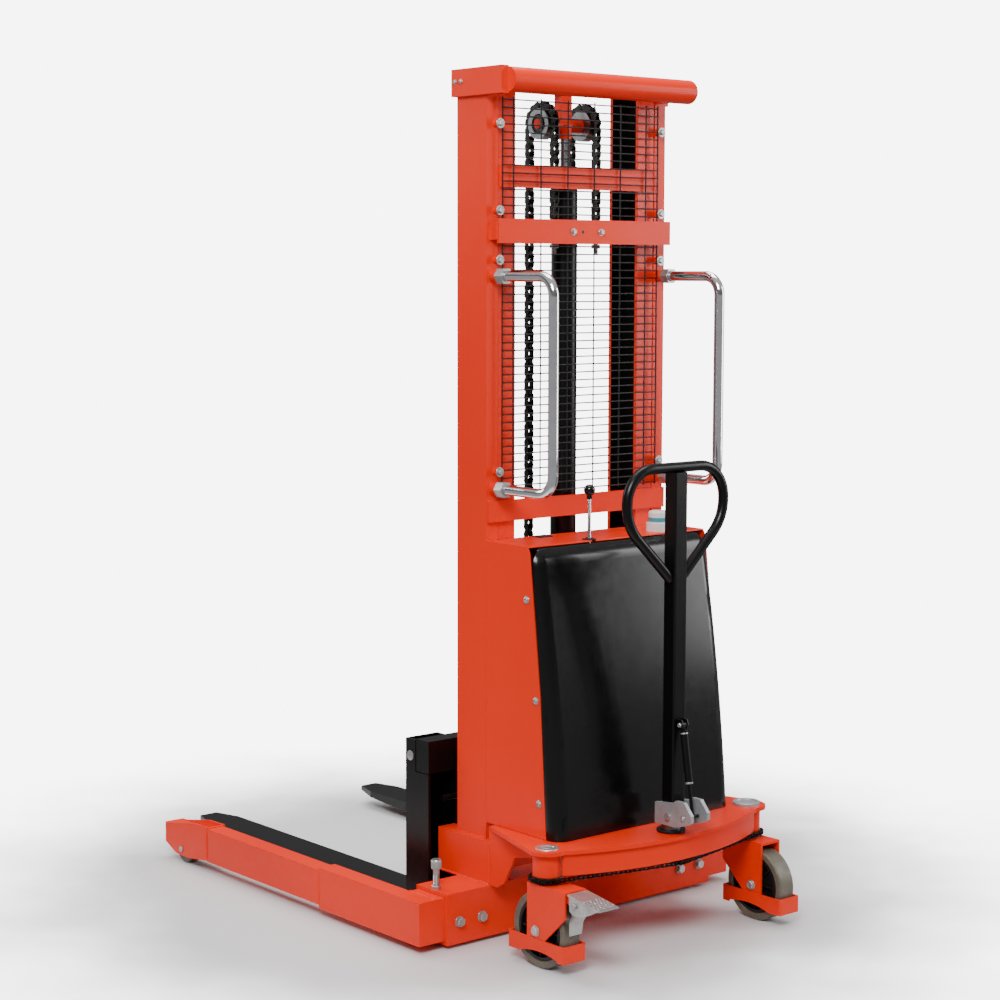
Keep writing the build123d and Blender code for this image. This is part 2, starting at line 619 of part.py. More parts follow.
with BuildPart() as pin:
    rod(along_x(-EAR_OUT, PIVOT_Y, PIVOT_Z), PIN_R, 2 * EAR_OUT)
    for t in (-1, 1):
        rod(along_x(t * (EAR_OUT + 0.2) - (5 if t < 0 else 0), PIVOT_Y, PIVOT_Z), 8.5, 5)
save(pin, "tiller_pivot_pin")

ARM_LOW = 311.0
ARM_WALL = 3.0
LOOP_FOOT = (18.0, 888.0)
LOOP_SIDE = (LOOP_HALF, 1022.0)
with BuildPart() as arm:
    box(-ARM_X, ARM_X, ARM_REAR, ARM_FRONT, ARM_LOW, ARM_TOP)
    fillet(arm.edges().filter_by(Axis.Z), 4)
    box(-ARM_X + ARM_WALL, ARM_X - ARM_WALL, ARM_REAR + ARM_WALL, ARM_FRONT - ARM_WALL,
        ARM_LOW, ARM_TOP - 6, Mode.SUBTRACT)
    box(-14, 14, PIVOT_Y - 3 + ARM_WALL, PIVOT_Y + 12, PIVOT_Z - 11, PIVOT_Z + 12)
    rod(along_x(-ARM_X - 1, PIVOT_Y, PIVOT_Z), PIN_R + RUNNING, 2 * ARM_X + 2, Mode.SUBTRACT)
    with BuildLine(Plane.XZ.offset(-LOOP_Y)) as loop_path:
        FilletPolyline(
            (-LOOP_FOOT[0], LOOP_FOOT[1]),
            (-LOOP_SIDE[0], LOOP_SIDE[1]),
            (-LOOP_HALF, LOOP_TOP),
            (LOOP_HALF, LOOP_TOP),
            LOOP_SIDE,
            LOOP_FOOT,
            radius=[108, 78, 78, 108],
        )
    start = loop_path.line @ 0
    heading = loop_path.line % 0
    with BuildSketch(Plane(origin=start, z_dir=heading)):
        Circle(LOOP_R)
    sweep(path=loop_path.line)
    # lug for the upper eye of the gas spring
    for t in (-1, 1):
        plate_yz(((ARM_REAR, 556.0), (-802.0, 556.0), (-806.0, 545.0), (-802.0, 532.0),
                  (ARM_REAR, 528.0)), t * 7, t * 10)
save(arm, "tiller_arm")

# ---------------------------------------------------------------- gas spring
top = Vector(0, *SPRING_TOP)
foot = Vector(0, *SPRING_FOOT)
spring_dir = (top - foot).normalized()
spring_len = (top - foot).length
BARREL_R = 9.0
EYE_R = 7.0
BARREL_SPLIT = 78.0

with BuildPart() as barrel:
    bottom = foot + spring_dir * BARREL_SPLIT
    rod(Plane(origin=bottom, z_dir=spring_dir), BARREL_R, spring_len - BARREL_SPLIT - 14)
    rod(Plane(origin=bottom, z_dir=spring_dir), 4.0 + RUNNING, 88, Mode.SUBTRACT)
    rod(Plane(origin=top - spring_dir * 14.5, z_dir=spring_dir), 4.4, 12)
    rod(along_x(-5, *SPRING_TOP), EYE_R, 10)
save(barrel, "gas_spring_barrel")

with BuildPart() as piston:
    rod(Plane(origin=foot + spring_dir * 3, z_dir=spring_dir), 4.0, BARREL_SPLIT + 20)
    rod(along_x(-5, *SPRING_FOOT), EYE_R, 10)
    rod(along_x(-18, *SPRING_FOOT), 3.5, 36)
save(piston, "gas_spring_rod")

# ================================================================ inner mast
with BuildPart() as inner:
    for _, s in SIDES:
        box(s * INNER_OUT, s * (INNER_OUT - COLUMN_WEB), INNER_REAR, INNER_FRONT,
            INNER_BOTTOM, INNER_TOP)
        box(s * INNER_OUT, s * INNER_IN, INNER_REAR, INNER_REAR + COLUMN_WALL,
            INNER_BOTTOM, INNER_TOP)
        box(s * INNER_OUT, s * INNER_IN, INNER_FRONT - COLUMN_WALL, INNER_FRONT,
            INNER_BOTTOM, INNER_TOP)
save(inner, "inner_mast_columns")

INNER_BAR_LOW, INNER_BAR_HIGH = 1803.0, 1855.0
CROSS_THICK = 9.0
TIE_LOW, TIE_HIGH = 152.0, 190.0
TOP_MEMBER_LOW = 2034.0
with BuildPart() as inner_ties:
    box(-248, 248, INNER_REAR - CROSS_THICK, INNER_REAR, INNER_BAR_LOW, INNER_BAR_HIGH)
    box(-INNER_IN, INNER_IN, INNER_REAR + 2, INNER_REAR + 12, TIE_LOW, TIE_HIGH)
    box(-INNER_OUT + COLUMN_WEB, INNER_OUT - COLUMN_WEB, SHEAVE_Y - 18, SHEAVE_Y + 18,
        TOP_MEMBER_LOW, INNER_TOP)
save(inner_ties, "inner_mast_crossmembers")

SHAFT_R = 12.0
CROSS_R = 17.0
CROSS_HALF = 54.0
SHAFT_END = 84.0
with BuildPart() as crosshead:
    rod(along_x(-CROSS_HALF, SHEAVE_Y, SHEAVE_Z), CROSS_R, 2 * CROSS_HALF)
    rod(along_x(-SHAFT_END, SHEAVE_Y, SHEAVE_Z), SHAFT_R, 2 * SHAFT_END)
    box(-17, 17, SHEAVE_Y - 13, SHEAVE_Y + 13, SHEAVE_Z, TOP_MEMBER_LOW)
    rod(upright(0, CYL_Y, SHEAVE_Z - 34), ROD_R + 5, 34)
save(crosshead, "sheave_crosshead")

ROD_LOW = 330.0
with BuildPart() as piston_rod:
    rod(upright(0, CYL_Y, ROD_LOW), ROD_R, SHEAVE_Z - 34 - ROD_LOW)
save(piston_rod, "piston_rod")

with BuildPart() as cylinder:
    rod(upright(0, CYL_Y, CYL_LOW), CYL_R, CYL_HIGH - CYL_LOW)
    rod(upright(0, CYL_Y, CYL_LOW + 20), CYL_BORE_R, CYL_HIGH - CYL_LOW - 50, Mode.SUBTRACT)
    rod(upright(0, CYL_Y, CYL_HIGH - 31), ROD_R + RUNNING, 32, Mode.SUBTRACT)
save(cylinder, "lift_cylinder_barrel")

OUTER_ROLLER_R = 44.6
OUTER_ROLLER_Y = (COLUMN_REAR + COLUMN_FRONT) / 2
with BuildPart() as mast_rollers:
    for _, s in SIDES:
        for z in (205.0, 500.0):
            first = min(s * 256, s * 280)
            rod(along_x(first, OUTER_ROLLER_Y, z), OUTER_ROLLER_R, 24)
            rod(along_x(min(s * (INNER_OUT + 0.2), s * 256), OUTER_ROLLER_Y, z), 14, 3.8)
save(mast_rollers, "mast_guide_rollers")

for side, s in SIDES:
    with BuildPart() as sheave:
        start_x = s * SHEAVE_X - 13
        rod(along_x(start_x, SHEAVE_Y, SHEAVE_Z), SHEAVE_R, 26)
        rod(along_x(start_x, SHEAVE_Y, SHEAVE_Z), SHAFT_R + RUNNING, 26, Mode.SUBTRACT)
        outside = s * (SHEAVE_X + 13)
        with BuildSketch(along_x(outside, SHEAVE_Y, SHEAVE_Z)):
            Circle(24)
            Circle(15.5, mode=Mode.SUBTRACT)
        extrude(amount=-s * 8, mode=Mode.SUBTRACT)
    save(sheave, f"chain_sheave_{side}")

# Plain chain solids: straight strands, and half rings over the sheaves.
half_w = CHAIN_W / 2
half_h = CHAIN_H / 2
with BuildPart() as anchor_strands:
    for _, s in SIDES:
        box(s * SHEAVE_X - half_w, s * SHEAVE_X + half_w, REAR_STRAND_Y - half_h,
            REAR_STRAND_Y + half_h, ANCHOR_Z, SHEAVE_Z - 0.5)
save(anchor_strands, "lift_chain_anchor_strands")

with BuildPart() as lift_chains:
    for _, s in SIDES:
        box(s * SHEAVE_X - half_w, s * SHEAVE_X + half_w, FRONT_STRAND_Y - half_h,
            FRONT_STRAND_Y + half_h, CARRIAGE_CHAIN_Z, SHEAVE_Z)
        with BuildSketch(along_x(s * SHEAVE_X - half_w, SHEAVE_Y, SHEAVE_Z)) as ring:
            Circle(CHAIN_R + half_h)
            Circle(CHAIN_R - half_h, mode=Mode.SUBTRACT)
            with Locations((0, -60 if ring.workplanes[0].y_dir.Z > 0 else 60)):
                Rectangle(240, 120, mode=Mode.SUBTRACT)
        extrude(amount=CHAIN_W)
save(lift_chains, "lift_chain_carriage_strands")

# ================================================================ carriage
CAR_PLATE_IN, CAR_PLATE_OUT = 182.0, 196.0
CAR_LOW = 152.0
CAR_ROLLER_ZS = (205.0, 405.0)
CAR_ROLLER_R = 41.7
CAR_ROLLER_Y = (INNER_REAR + INNER_FRONT) / 2
TIE_BAR_R = 8.0
BEAM_X = 334.0
BEAM_BACK, BEAM_FACE = -250.0, -200.0
LUG_INNER = 138.0
FORK_PIN_Y, FORK_PIN_Z = -179.0, 410.0
SHAFT_RADIUS = 11.0
SHANK_BREAK = 372.0
SHANK_UPPER = -198.0
with BuildPart() as carriage:
    box(-BEAM_X, BEAM_X, BEAM_BACK, BEAM_FACE, BEAM_Z0, BEAM_Z1)
    box(-BEAM_X + SHEET, BEAM_X - SHEET, BEAM_BACK + SHEET, BEAM_FACE - SHEET,
        BEAM_Z0 + SHEET, BEAM_Z1 - SHEET, Mode.SUBTRACT)
    for _, s in SIDES:
        plate_yz(((-385.0, CAR_LOW), (-385.0, BEAM_Z1 - 10), (BEAM_BACK, BEAM_Z1 - 10),
                  (BEAM_BACK, CAR_LOW + 60), (-290.0, CAR_LOW)),
                 s * CAR_PLATE_IN, s * CAR_PLATE_OUT)
        plate_yz(((BEAM_FACE, BEAM_Z0 + 12), (BEAM_FACE, BEAM_Z0 + 62),
                  (FORK_PIN_Y + 13, BEAM_Z0 + 56), (FORK_PIN_Y + 13, BEAM_Z0 + 16)),
                 s * LUG_INNER, s * (LUG_INNER + SHEET))
    box(-CAR_PLATE_IN, CAR_PLATE_IN, FRONT_STRAND_Y - 12, FRONT_STRAND_Y + 12,
        CARRIAGE_CHAIN_Z - 30, CARRIAGE_CHAIN_Z)
    for z, half in ((229.0, 250.0), (311.0, 300.0)):
        rod(along_x(-half, BEAM_BACK - TIE_BAR_R - 0.5, z), TIE_BAR_R, 2 * half)
    rod(along_x(-FORK_OUT - 3, FORK_PIN_Y, FORK_PIN_Z), SHAFT_RADIUS, 2 * FORK_OUT + 6)
save(carriage, "carriage_frame")

with BuildPart() as carriage_rollers:
    for _, s in SIDES:
        for z in CAR_ROLLER_ZS:
            rod(along_x(min(s * 214, s * 240), CAR_ROLLER_Y, z), CAR_ROLLER_R, 26)
            rod(along_x(min(s * (CAR_PLATE_OUT + 0.2), s * 214), CAR_ROLLER_Y, z), 14, 17.8)
save(carriage_rollers, "carriage_rollers")

for side, s in SIDES:
    out, inn = s * FORK_OUT, s * (FORK_OUT - FORK_W)
    with BuildPart() as fork:
        for edge, t in ((out, -s), (inn, s)):
            plate_yz(((FORK_FACE, FORK_TOP - 5), (FORK_FACE, SHANK_TOP),
                      (SHANK_UPPER, SHANK_TOP), (SHANK_UPPER, SHANK_BREAK),
                      (FORK_HEEL, SHANK_BREAK), (FORK_HEEL, FORK_TOP - 5)),
                     edge, edge + t * SHEET)
        box(out, inn, FORK_FACE - SHEET, FORK_FACE, FORK_TOP, SHANK_TOP)
        middle = (out + inn) / 2
        with BuildSketch(Plane.XY.offset(FORK_BOTTOM)):
            with BuildLine():
                Polyline((out, FORK_HEEL), (out, FORK_TIP - 78), (middle + s * 27, FORK_TIP),
                         (middle - s * 27, FORK_TIP), (inn, FORK_TIP - 78), (inn, FORK_HEEL),
                         close=True)
            make_face()
        extrude(amount=FORK_TOP - FORK_BOTTOM)
        # the underside rises towards the tip
        with BuildSketch(Plane.YZ.offset(min(out, inn) - 5)):
            with BuildLine():
                Polyline((420.0, FORK_BOTTOM - 1), (FORK_TIP + 5, FORK_BOTTOM - 1),
                         (FORK_TIP + 5, FORK_TOP - 12), close=True)
            make_face()
        extrude(amount=FORK_W + 10, mode=Mode.SUBTRACT)
        rod(along_x(min(out, inn) - 1, FORK_PIN_Y, FORK_PIN_Z), SHAFT_RADIUS + RUNNING,
            FORK_W + 2, Mode.SUBTRACT)
    save(fork, f"fork_{side}")

# ================================================================ housing
SEAM = ((-639.0, HOUSE_LOW), (-617.0, 611.0), (-577.0, 950.0), (-568.0, HOUSE_TOP))
COVER_FOOT = (-680.0, HOUSE_LOW)
COVER_MIDDLE = (-637.0, 680.0)
COVER_SHOULDER = (-596.0, 922.0)
COVER_TOP = (-569.0, 962.0)


def housing_outline(gap):
    """Side view of the steel casing, its sloping rear edge moved back by a small gap."""
    with BuildSketch(Plane.YZ, mode=Mode.PRIVATE) as outline:
        with BuildLine():
            Polyline((HOUSE_FRONT, HOUSE_LOW), *[(y - gap, z) for y, z in SEAM],
                     (HOUSE_FRONT, HOUSE_TOP), close=True)
        make_face()
    return outline.sketch


def cover_block(inset, half):
    """The cover as a solid block with rounded rear edges, its skin inset all round."""
    with BuildPart() as block:
        with BuildSketch(Plane.YZ, mode=Mode.PRIVATE) as outline:
            with BuildLine():
                foot = (COVER_FOOT[0] + inset, COVER_FOOT[1])
                shoulder = (COVER_SHOULDER[0] + inset, COVER_SHOULDER[1])
                rear = ThreePointArc(foot, (COVER_MIDDLE[0] + inset, COVER_MIDDLE[1]), shoulder)
                top = (COVER_TOP[0] + inset * 0.3, COVER_TOP[1] - inset)
                TangentArc(shoulder, top, tangent=rear % 1)
                Line(top, (-540.0, COVER_TOP[1] - inset))
                Line((-540.0, COVER_TOP[1] - inset), (-540.0, HOUSE_LOW))
                Line((-540.0, HOUSE_LOW), foot)
            make_face()
        extrude(outline.sketch, amount=half, both=True)
        rounded = block.edges().filter_by(
            lambda e: abs(abs(e.center().X) - half) < 0.5 and e.center().Y < -545
            and abs(e.tangent_at(0.5).Z) > 0.3)
        fillet(rounded, COVER_EDGE_R - inset)
    return block.part


LEVER_X, LEVER_Y, LEVER_Z = -80.0, -552.0, 940.0
with BuildPart() as housing:
    extrude(housing_outline(0), amount=MAST_HALF, both=True)
    with BuildSketch(Plane.YZ, mode=Mode.PRIVATE) as cavity:
        with BuildLine():
            Polyline((HOUSE_FRONT - HOUSE_SHEET, HOUSE_LOW - 5),
                     (HOUSE_FRONT - HOUSE_SHEET, HOUSE_TOP - HOUSE_SHEET),
                     (-700, HOUSE_TOP - HOUSE_SHEET), (-700, HOUSE_LOW - 5), close=True)
        make_face()
    extrude(cavity.sketch, amount=MAST_HALF - HOUSE_SHEET, both=True, mode=Mode.SUBTRACT)
    box(LEVER_X - 6, LEVER_X + 6, LEVER_Y - 26, LEVER_Y + 26, HOUSE_TOP - 5, HOUSE_TOP + 5,
        Mode.SUBTRACT)
    rod(along_y(0, HOUSE_FRONT - HOUSE_SHEET - 1, HOSE_Z), HOSE_R + 3, HOUSE_SHEET + 2,
        Mode.SUBTRACT)
save(housing, "housing_shell")

outer_block = cover_block(0, COVER_HALF)
inner_block = cover_block(COVER_SKIN, COVER_HALF - COVER_SKIN)
with BuildPart() as cover:
    add(outer_block)
    add(inner_block, mode=Mode.SUBTRACT)
    extrude(housing_outline(0.6), amount=COVER_HALF + 5, both=True, mode=Mode.SUBTRACT)
save(cover, "rear_cover")

SCREW_POINTS = ((-567.0, 841.0), (-602.0, 606.0), (-614.0, 362.0))
with BuildPart() as cover_screws:
    for _, s in SIDES:
        for y, z in SCREW_POINTS:
            rod(along_x(min(s * (MAST_HALF + 0.2), s * (MAST_HALF + 5.2)), y, z), 7.0, 5)
save(cover_screws, "cover_screws")

CAP_X, CAP_Y = 172.0, -528.0
CAP_LOW, CAP_HIGH = HOUSE_TOP, 1016.0
with BuildPart() as filler:
    rod(upright(CAP_X, CAP_Y, CAP_LOW), 30, 20)
    rod(upright(CAP_X, CAP_Y, CAP_LOW + 20), 24, CAP_HIGH - CAP_LOW - 20)
    fillet(filler.edges().filter_by(GeomType.CIRCLE).group_by(Axis.Z)[-1], 6)
save(filler, "oil_filler_cap")

# ---------------------------------------------------------------- power unit
SHELF_LOW = 296.0
with BuildPart() as battery:
    box(-258, 258, -600, -450, SHELF_LOW, 560)
    fillet(battery.edges().filter_by(Axis.Z), 6)
    for x in (-200, 200):
        rod(upright(x, -525, 560), 9, 16)
save(battery, "battery")

with BuildPart() as tray:
    box(-286.5, 286.5, -636, HOUSE_FRONT - HOUSE_SHEET - 1, 288, SHELF_LOW)
    box(-268, 268, -585, -450, 640, 648)
    for x in (-268, 260):
        box(x, x + 8, -585, -450, SHELF_LOW, 640)
save(tray, "power_unit_tray")

PUMP_Y = -520.0
with BuildPart() as pump:
    rod(upright(-130, PUMP_Y, 648), 52, 150)
    fillet(pump.edges().filter_by(GeomType.CIRCLE).group_by(Axis.Z)[-1], 8)
    box(-175, -85, PUMP_Y - 45, PUMP_Y + 45, 798, 860)
    rod(along_x(-85, PUMP_Y, 828), 12, 15)
save(pump, "pump_motor")

with BuildPart() as tank:
    box(-20, 250, -570, -450, 648, 890)
    fillet(tank.edges().filter_by(Axis.Z), 14)
    rod(upright(CAP_X, CAP_Y, 890), 20, HOUSE_TOP - HOUSE_SHEET - 890)
save(tank, "oil_tank")

with BuildPart() as hose:
    with BuildLine(Plane.XY.offset(HOSE_Z)) as hose_path:
        FilletPolyline((-70, PUMP_Y), (-40, PUMP_Y), (-40, -440), (0, -440), (0, CYL_Y - CYL_R),
                       radius=16)
    with BuildSketch(Plane(origin=hose_path.line @ 0, z_dir=hose_path.line % 0)):
        Circle(HOSE_R)
    sweep(path=hose_path.line)
save(hose, "hydraulic_hose")

# ---------------------------------------------------------------- control lever
KNOB_R = 14.0
with BuildPart() as lever:
    rod(upright(LEVER_X, LEVER_Y, LEVER_Z), 4.0, 128)
    rod(along_x(LEVER_X - 9, LEVER_Y, LEVER_Z), 6.0, 18)
    rod(upright(LEVER_X, LEVER_Y, LEVER_Z + 128), 7, 12)
    with Locations((LEVER_X, LEVER_Y, LEVER_Z + 145)):
        Sphere(KNOB_R)
save(lever, "control_lever")
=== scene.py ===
import math

import bmesh
import bpy
from mathutils import Matrix, Vector, noise


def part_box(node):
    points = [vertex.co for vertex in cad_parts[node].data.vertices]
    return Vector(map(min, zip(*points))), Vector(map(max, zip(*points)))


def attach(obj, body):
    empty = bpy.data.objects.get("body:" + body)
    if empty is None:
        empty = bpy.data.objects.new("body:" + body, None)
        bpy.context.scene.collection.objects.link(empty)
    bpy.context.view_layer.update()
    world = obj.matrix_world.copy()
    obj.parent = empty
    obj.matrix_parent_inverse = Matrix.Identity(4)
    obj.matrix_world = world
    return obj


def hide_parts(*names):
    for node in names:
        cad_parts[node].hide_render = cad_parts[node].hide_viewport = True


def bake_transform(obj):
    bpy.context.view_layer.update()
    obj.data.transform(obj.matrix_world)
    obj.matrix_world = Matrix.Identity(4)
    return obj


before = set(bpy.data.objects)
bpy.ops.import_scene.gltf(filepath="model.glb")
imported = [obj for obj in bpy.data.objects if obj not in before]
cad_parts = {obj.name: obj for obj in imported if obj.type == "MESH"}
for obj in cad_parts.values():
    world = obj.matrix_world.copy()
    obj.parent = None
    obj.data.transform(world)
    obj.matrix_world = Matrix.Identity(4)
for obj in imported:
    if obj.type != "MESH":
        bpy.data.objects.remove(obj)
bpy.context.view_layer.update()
# The CAD is drawn from a datum this far in front of the base beam's rear face, and Y values below use it.
BEAM_BACK = 0.454
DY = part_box("base_beam")[0][1] + BEAM_BACK

# ------------------------------------------------------------------ materials


def rgb(r, g, b):
    """sRGB 0-255 to linear."""
    out = []
    for v in (r, g, b):
        v = v / 255
        out.append(v / 12.92 if v <= 0.04045 else ((v + 0.055) / 1.055) ** 2.4)
    return (*out, 1.0)


class Mat:
    """A small helper round a Principled material in object coordinates."""

    def __init__(self, name, rough=0.4, metal=0.0, coat=0.0, spec=0.5):
        self.m = bpy.data.materials.new(name)
        self.m.use_nodes = True
        self.t = self.m.node_tree
        self.n = self.t.nodes
        self.b = self.n["Principled BSDF"]
        self.b.inputs["Roughness"].default_value = rough
        self.b.inputs["Metallic"].default_value = metal
        self.b.inputs["Coat Weight"].default_value = coat
        self.b.inputs["Coat Roughness"].default_value = 0.08
        self.b.inputs["Specular IOR Level"].default_value = spec
        self.co = self.n.new("ShaderNodeTexCoord").outputs["Object"]

    def link(self, a, b):
        self.t.links.new(a, b)

    def feed(self, sock, value):
        """Links another node's output into a socket, or sets a plain value."""
        if isinstance(value, bpy.types.NodeSocket):
            self.link(value, sock)
        else:
            sock.default_value = value

    def noise(self, scale, detail=3.0, rough=0.5, coords=None):
        node = self.n.new("ShaderNodeTexNoise")
        node.inputs["Scale"].default_value = scale
        node.inputs["Detail"].default_value = detail
        node.inputs["Roughness"].default_value = rough
        self.link(coords or self.co, node.inputs["Vector"])
        return node.outputs["Fac"]

    def stretch(self, x, y, z):
        node = self.n.new("ShaderNodeMapping")
        node.inputs["Scale"].default_value = (x, y, z)
        self.link(self.co, node.inputs["Vector"])
        return node.outputs["Vector"]

    def ramp(self, fac, stops):
        node = self.n.new("ShaderNodeValToRGB")
        while len(node.color_ramp.elements) < len(stops):
            node.color_ramp.elements.new(0.5)
        for e, (p, c) in zip(node.color_ramp.elements, stops):
            e.position = p
            e.color = c if isinstance(c, tuple) else (c, c, c, 1)
        self.link(fac, node.inputs["Fac"])
        return node.outputs["Color"]

    def mix(self, fac, a, b):
        node = self.n.new("ShaderNodeMix")
        node.data_type = "RGBA"
        for sock, v in ((node.inputs["Factor"], fac), (node.inputs["A"], a), (node.inputs["B"], b)):
            self.feed(sock, v)
        return node.outputs["Result"]

    def math(self, op, a, b=0.0):
        node = self.n.new("ShaderNodeMath")
        node.operation = op
        for sock, v in zip(node.inputs, (a, b)):
            self.feed(sock, v)
        return node.outputs[0]

    def xyz(self):
        node = self.n.new("ShaderNodeSeparateXYZ")
        self.link(self.co, node.inputs[0])
        return node.outputs

    def colour(self, socket):
        self.link(socket, self.b.inputs["Base Color"])

    def rough(self, fac, low, high):
        node = self.n.new("ShaderNodeMapRange")
        node.inputs["From Min"].default_value = 0.3
        node.inputs["From Max"].default_value = 0.7
        node.inputs["To Min"].default_value = low
        node.inputs["To Max"].default_value = high
        self.link(fac, node.inputs["Value"])
        self.link(node.outputs["Result"], self.b.inputs["Roughness"])

    def bump(self, height, strength, distance=0.001):
        node = self.n.new("ShaderNodeBump")
        node.inputs["Strength"].default_value = strength
        node.inputs["Distance"].default_value = distance
        self.link(height, node.inputs["Height"])
        if self.b.inputs["Normal"].links:
            self.link(self.b.inputs["Normal"].links[0].from_socket, node.inputs["Normal"])
        self.link(node.outputs["Normal"], self.b.inputs["Normal"])


def paint(name, base, deep, rough, coat, grime=0.25, peel=0.12, spec=0.3):
    """Powder coat: orange peel, broad tone changes, fine dust and a dusty lower edge."""
    k = Mat(name, rough=rough, coat=coat, spec=spec)
    broad = k.noise(1.6, 2.0)
    tone = k.mix(k.ramp(broad, [(0.35, 0.0), (0.7, 1.0)]), base, deep)
    z = k.xyz()["Z"]
    low = k.math("MAXIMUM", k.math("SUBTRACT", 1.0, k.math("MULTIPLY", z, 3.2)), 0.0)
    dirt = k.math("MULTIPLY", k.noise(38, 6.0, 0.7), low)
    tone = k.mix(k.math("MULTIPLY", k.math("POWER", dirt, 1.5), grime), tone, (0.09, 0.05, 0.03, 1))
    speck = k.ramp(k.noise(330, 4.0, 0.65), [(0.66, 0.0), (0.74, 1.0)])
    tone = k.mix(k.math("MULTIPLY", speck, 0.05), tone, (0.30, 0.10, 0.06, 1))
    k.colour(tone)
    k.rough(k.noise(24, 2.0), rough - 0.01, rough + 0.03)
    k.bump(k.noise(420, 2.0), peel, 0.0005)
    return k.m


ORANGE_TONES = ((0.86, 0.024, 0.0, 1), (0.76, 0.018, 0.0, 1))
ORANGE = paint("orange_powder_coat", *ORANGE_TONES, 0.30, 0.04, 0.22, 0.05, 0.17)
BLACK = paint("black_powder_coat", (0.0030, 0.0030, 0.0031, 1), (0.0018, 0.0018, 0.0019, 1),
              0.30, 0.04, 0.02, 0.08, 0.25)
MESHBLACK = paint("guard_wire_coat", (0.010, 0.0105, 0.0105, 1), (0.006, 0.0062, 0.0062, 1),
                  0.36, 0.05, 0.0, 0.08, 0.3)


def plastic(name, base, deep, rough, grain=900, strength=0.16, coat=0.0, spec=0.3):
    """Moulded plastic: a fine grain and slightly uneven gloss."""
    k = Mat(name, rough=rough, coat=coat, spec=spec)
    k.colour(k.mix(k.ramp(k.noise(5, 3.0), [(0.35, 0.0), (0.65, 1.0)]), base, deep))
    k.rough(k.noise(40, 5.0), rough - 0.02, rough + 0.03)
    k.bump(k.noise(grain, 3.0, 0.6), strength, 0.0004)
    return k.m


COVER = plastic("black_moulded_cover", (0.0024, 0.0024, 0.0025, 1), (0.0018, 0.0018, 0.0018, 1), 0.20,
                strength=0.012, spec=0.40)
KNOB = plastic("black_bakelite", rgb(7, 7, 7), rgb(4, 4, 4), 0.12, 300, 0.03, 0.5)
DARKHUB = plastic("dark_wheel_hub", rgb(20, 20, 22), rgb(12, 12, 13), 0.45)
TANK = plastic("translucent_tank", rgb(225, 226, 220), rgb(205, 206, 198), 0.35)
BATTERY = plastic("battery_case", rgb(32, 33, 36), rgb(24, 24, 26), 0.5, 500, 0.3)


def metal(name, base, deep, rough, scale=(1, 1, 1), fine=260, spots=0.2, bump=0.12, metallic=1.0):
    """Bare or plated metal: brushed streaks, blotches of tone and small pits."""
    k = Mat(name, rough=rough, metal=metallic)
    streak = k.noise(fine, 4.0, 0.6, k.stretch(*scale))
    blot = k.noise(30, 5.0, 0.6)
    tone = k.mix(k.ramp(blot, [(0.35, 0.0), (0.68, 1.0)]), base, deep)
    tone = k.mix(k.math("MULTIPLY", k.ramp(streak, [(0.4, 0.0), (0.7, 1.0)]), spots), tone,
                 tuple(v * 0.55 for v in deep[:3]) + (1,))
    k.colour(tone)
    k.rough(blot, rough - 0.06, rough + 0.12)
    k.bump(streak, bump, 0.0003)
    return k.m


ZINC = metal("zinc_plate", rgb(188, 188, 184), rgb(156, 158, 158), 0.30, (1, 1, 1), 300, 0.3, 0.1, 0.7)
CAST = metal("zinc_casting", rgb(176, 178, 180), rgb(150, 152, 154), 0.42, (1, 1, 1), 520, 0.25, 0.2, 0.45)
STEEL = metal("turned_steel", rgb(168, 170, 172), rgb(120, 122, 124), 0.34, (6, 1, 1), 200, 0.4)
CHROME = metal("chrome_plate", rgb(238, 238, 240), rgb(228, 228, 230), 0.07, (1, 1, 1), 60, 0.04, 0.01)
CHAIN = metal("oiled_chain", rgb(62, 60, 58), rgb(30, 29, 28), 0.38, (1, 1, 1), 200, 0.4, 0.2)
ROD = metal("hard_chrome_rod", rgb(215, 216, 218), rgb(196, 197, 200), 0.12, (1, 1, 0.05), 240, 0.06, 0.03)


def polyurethane():
    """Cast polyurethane tread: grey-brown, mottled, with fine tread wear and grit."""
    k = Mat("polyurethane_tread", rough=0.42)
    tone = k.mix(k.ramp(k.noise(26, 5.0), [(0.3, 0.0), (0.7, 1.0)]), rgb(104, 96, 80), rgb(78, 73, 64))
    grit = k.ramp(k.noise(380, 3.0, 0.7), [(0.62, 0.0), (0.7, 1.0)])
    tone = k.mix(k.math("MULTIPLY", grit, 0.35), tone, rgb(92, 90, 86))
    k.colour(tone)
    k.rough(k.noise(60, 4.0), 0.34, 0.56)
    k.bump(k.noise(240, 4.0, 0.6), 0.22, 0.0006)
    return k.m


TREAD = polyurethane()


def filler():
    """White bottle cap with turquoise bands by height."""
    k = Mat("filler_cap", rough=0.32)
    band_z, band_half = 0.9945, 0.0055
    z = k.xyz()["Z"]
    band = k.math("ABSOLUTE", k.math("SUBTRACT", z, band_z))
    mask = k.math("LESS_THAN", band, band_half)
    tone = k.mix(k.noise(50, 3.0), rgb(236, 238, 236), rgb(214, 218, 218))
    k.colour(k.mix(mask, tone, rgb(70, 150, 158)))
    k.rough(k.noise(40, 3.0), 0.26, 0.42)
    k.bump(k.noise(300, 3.0), 0.1, 0.0004)
    return k.m


CAP = filler()


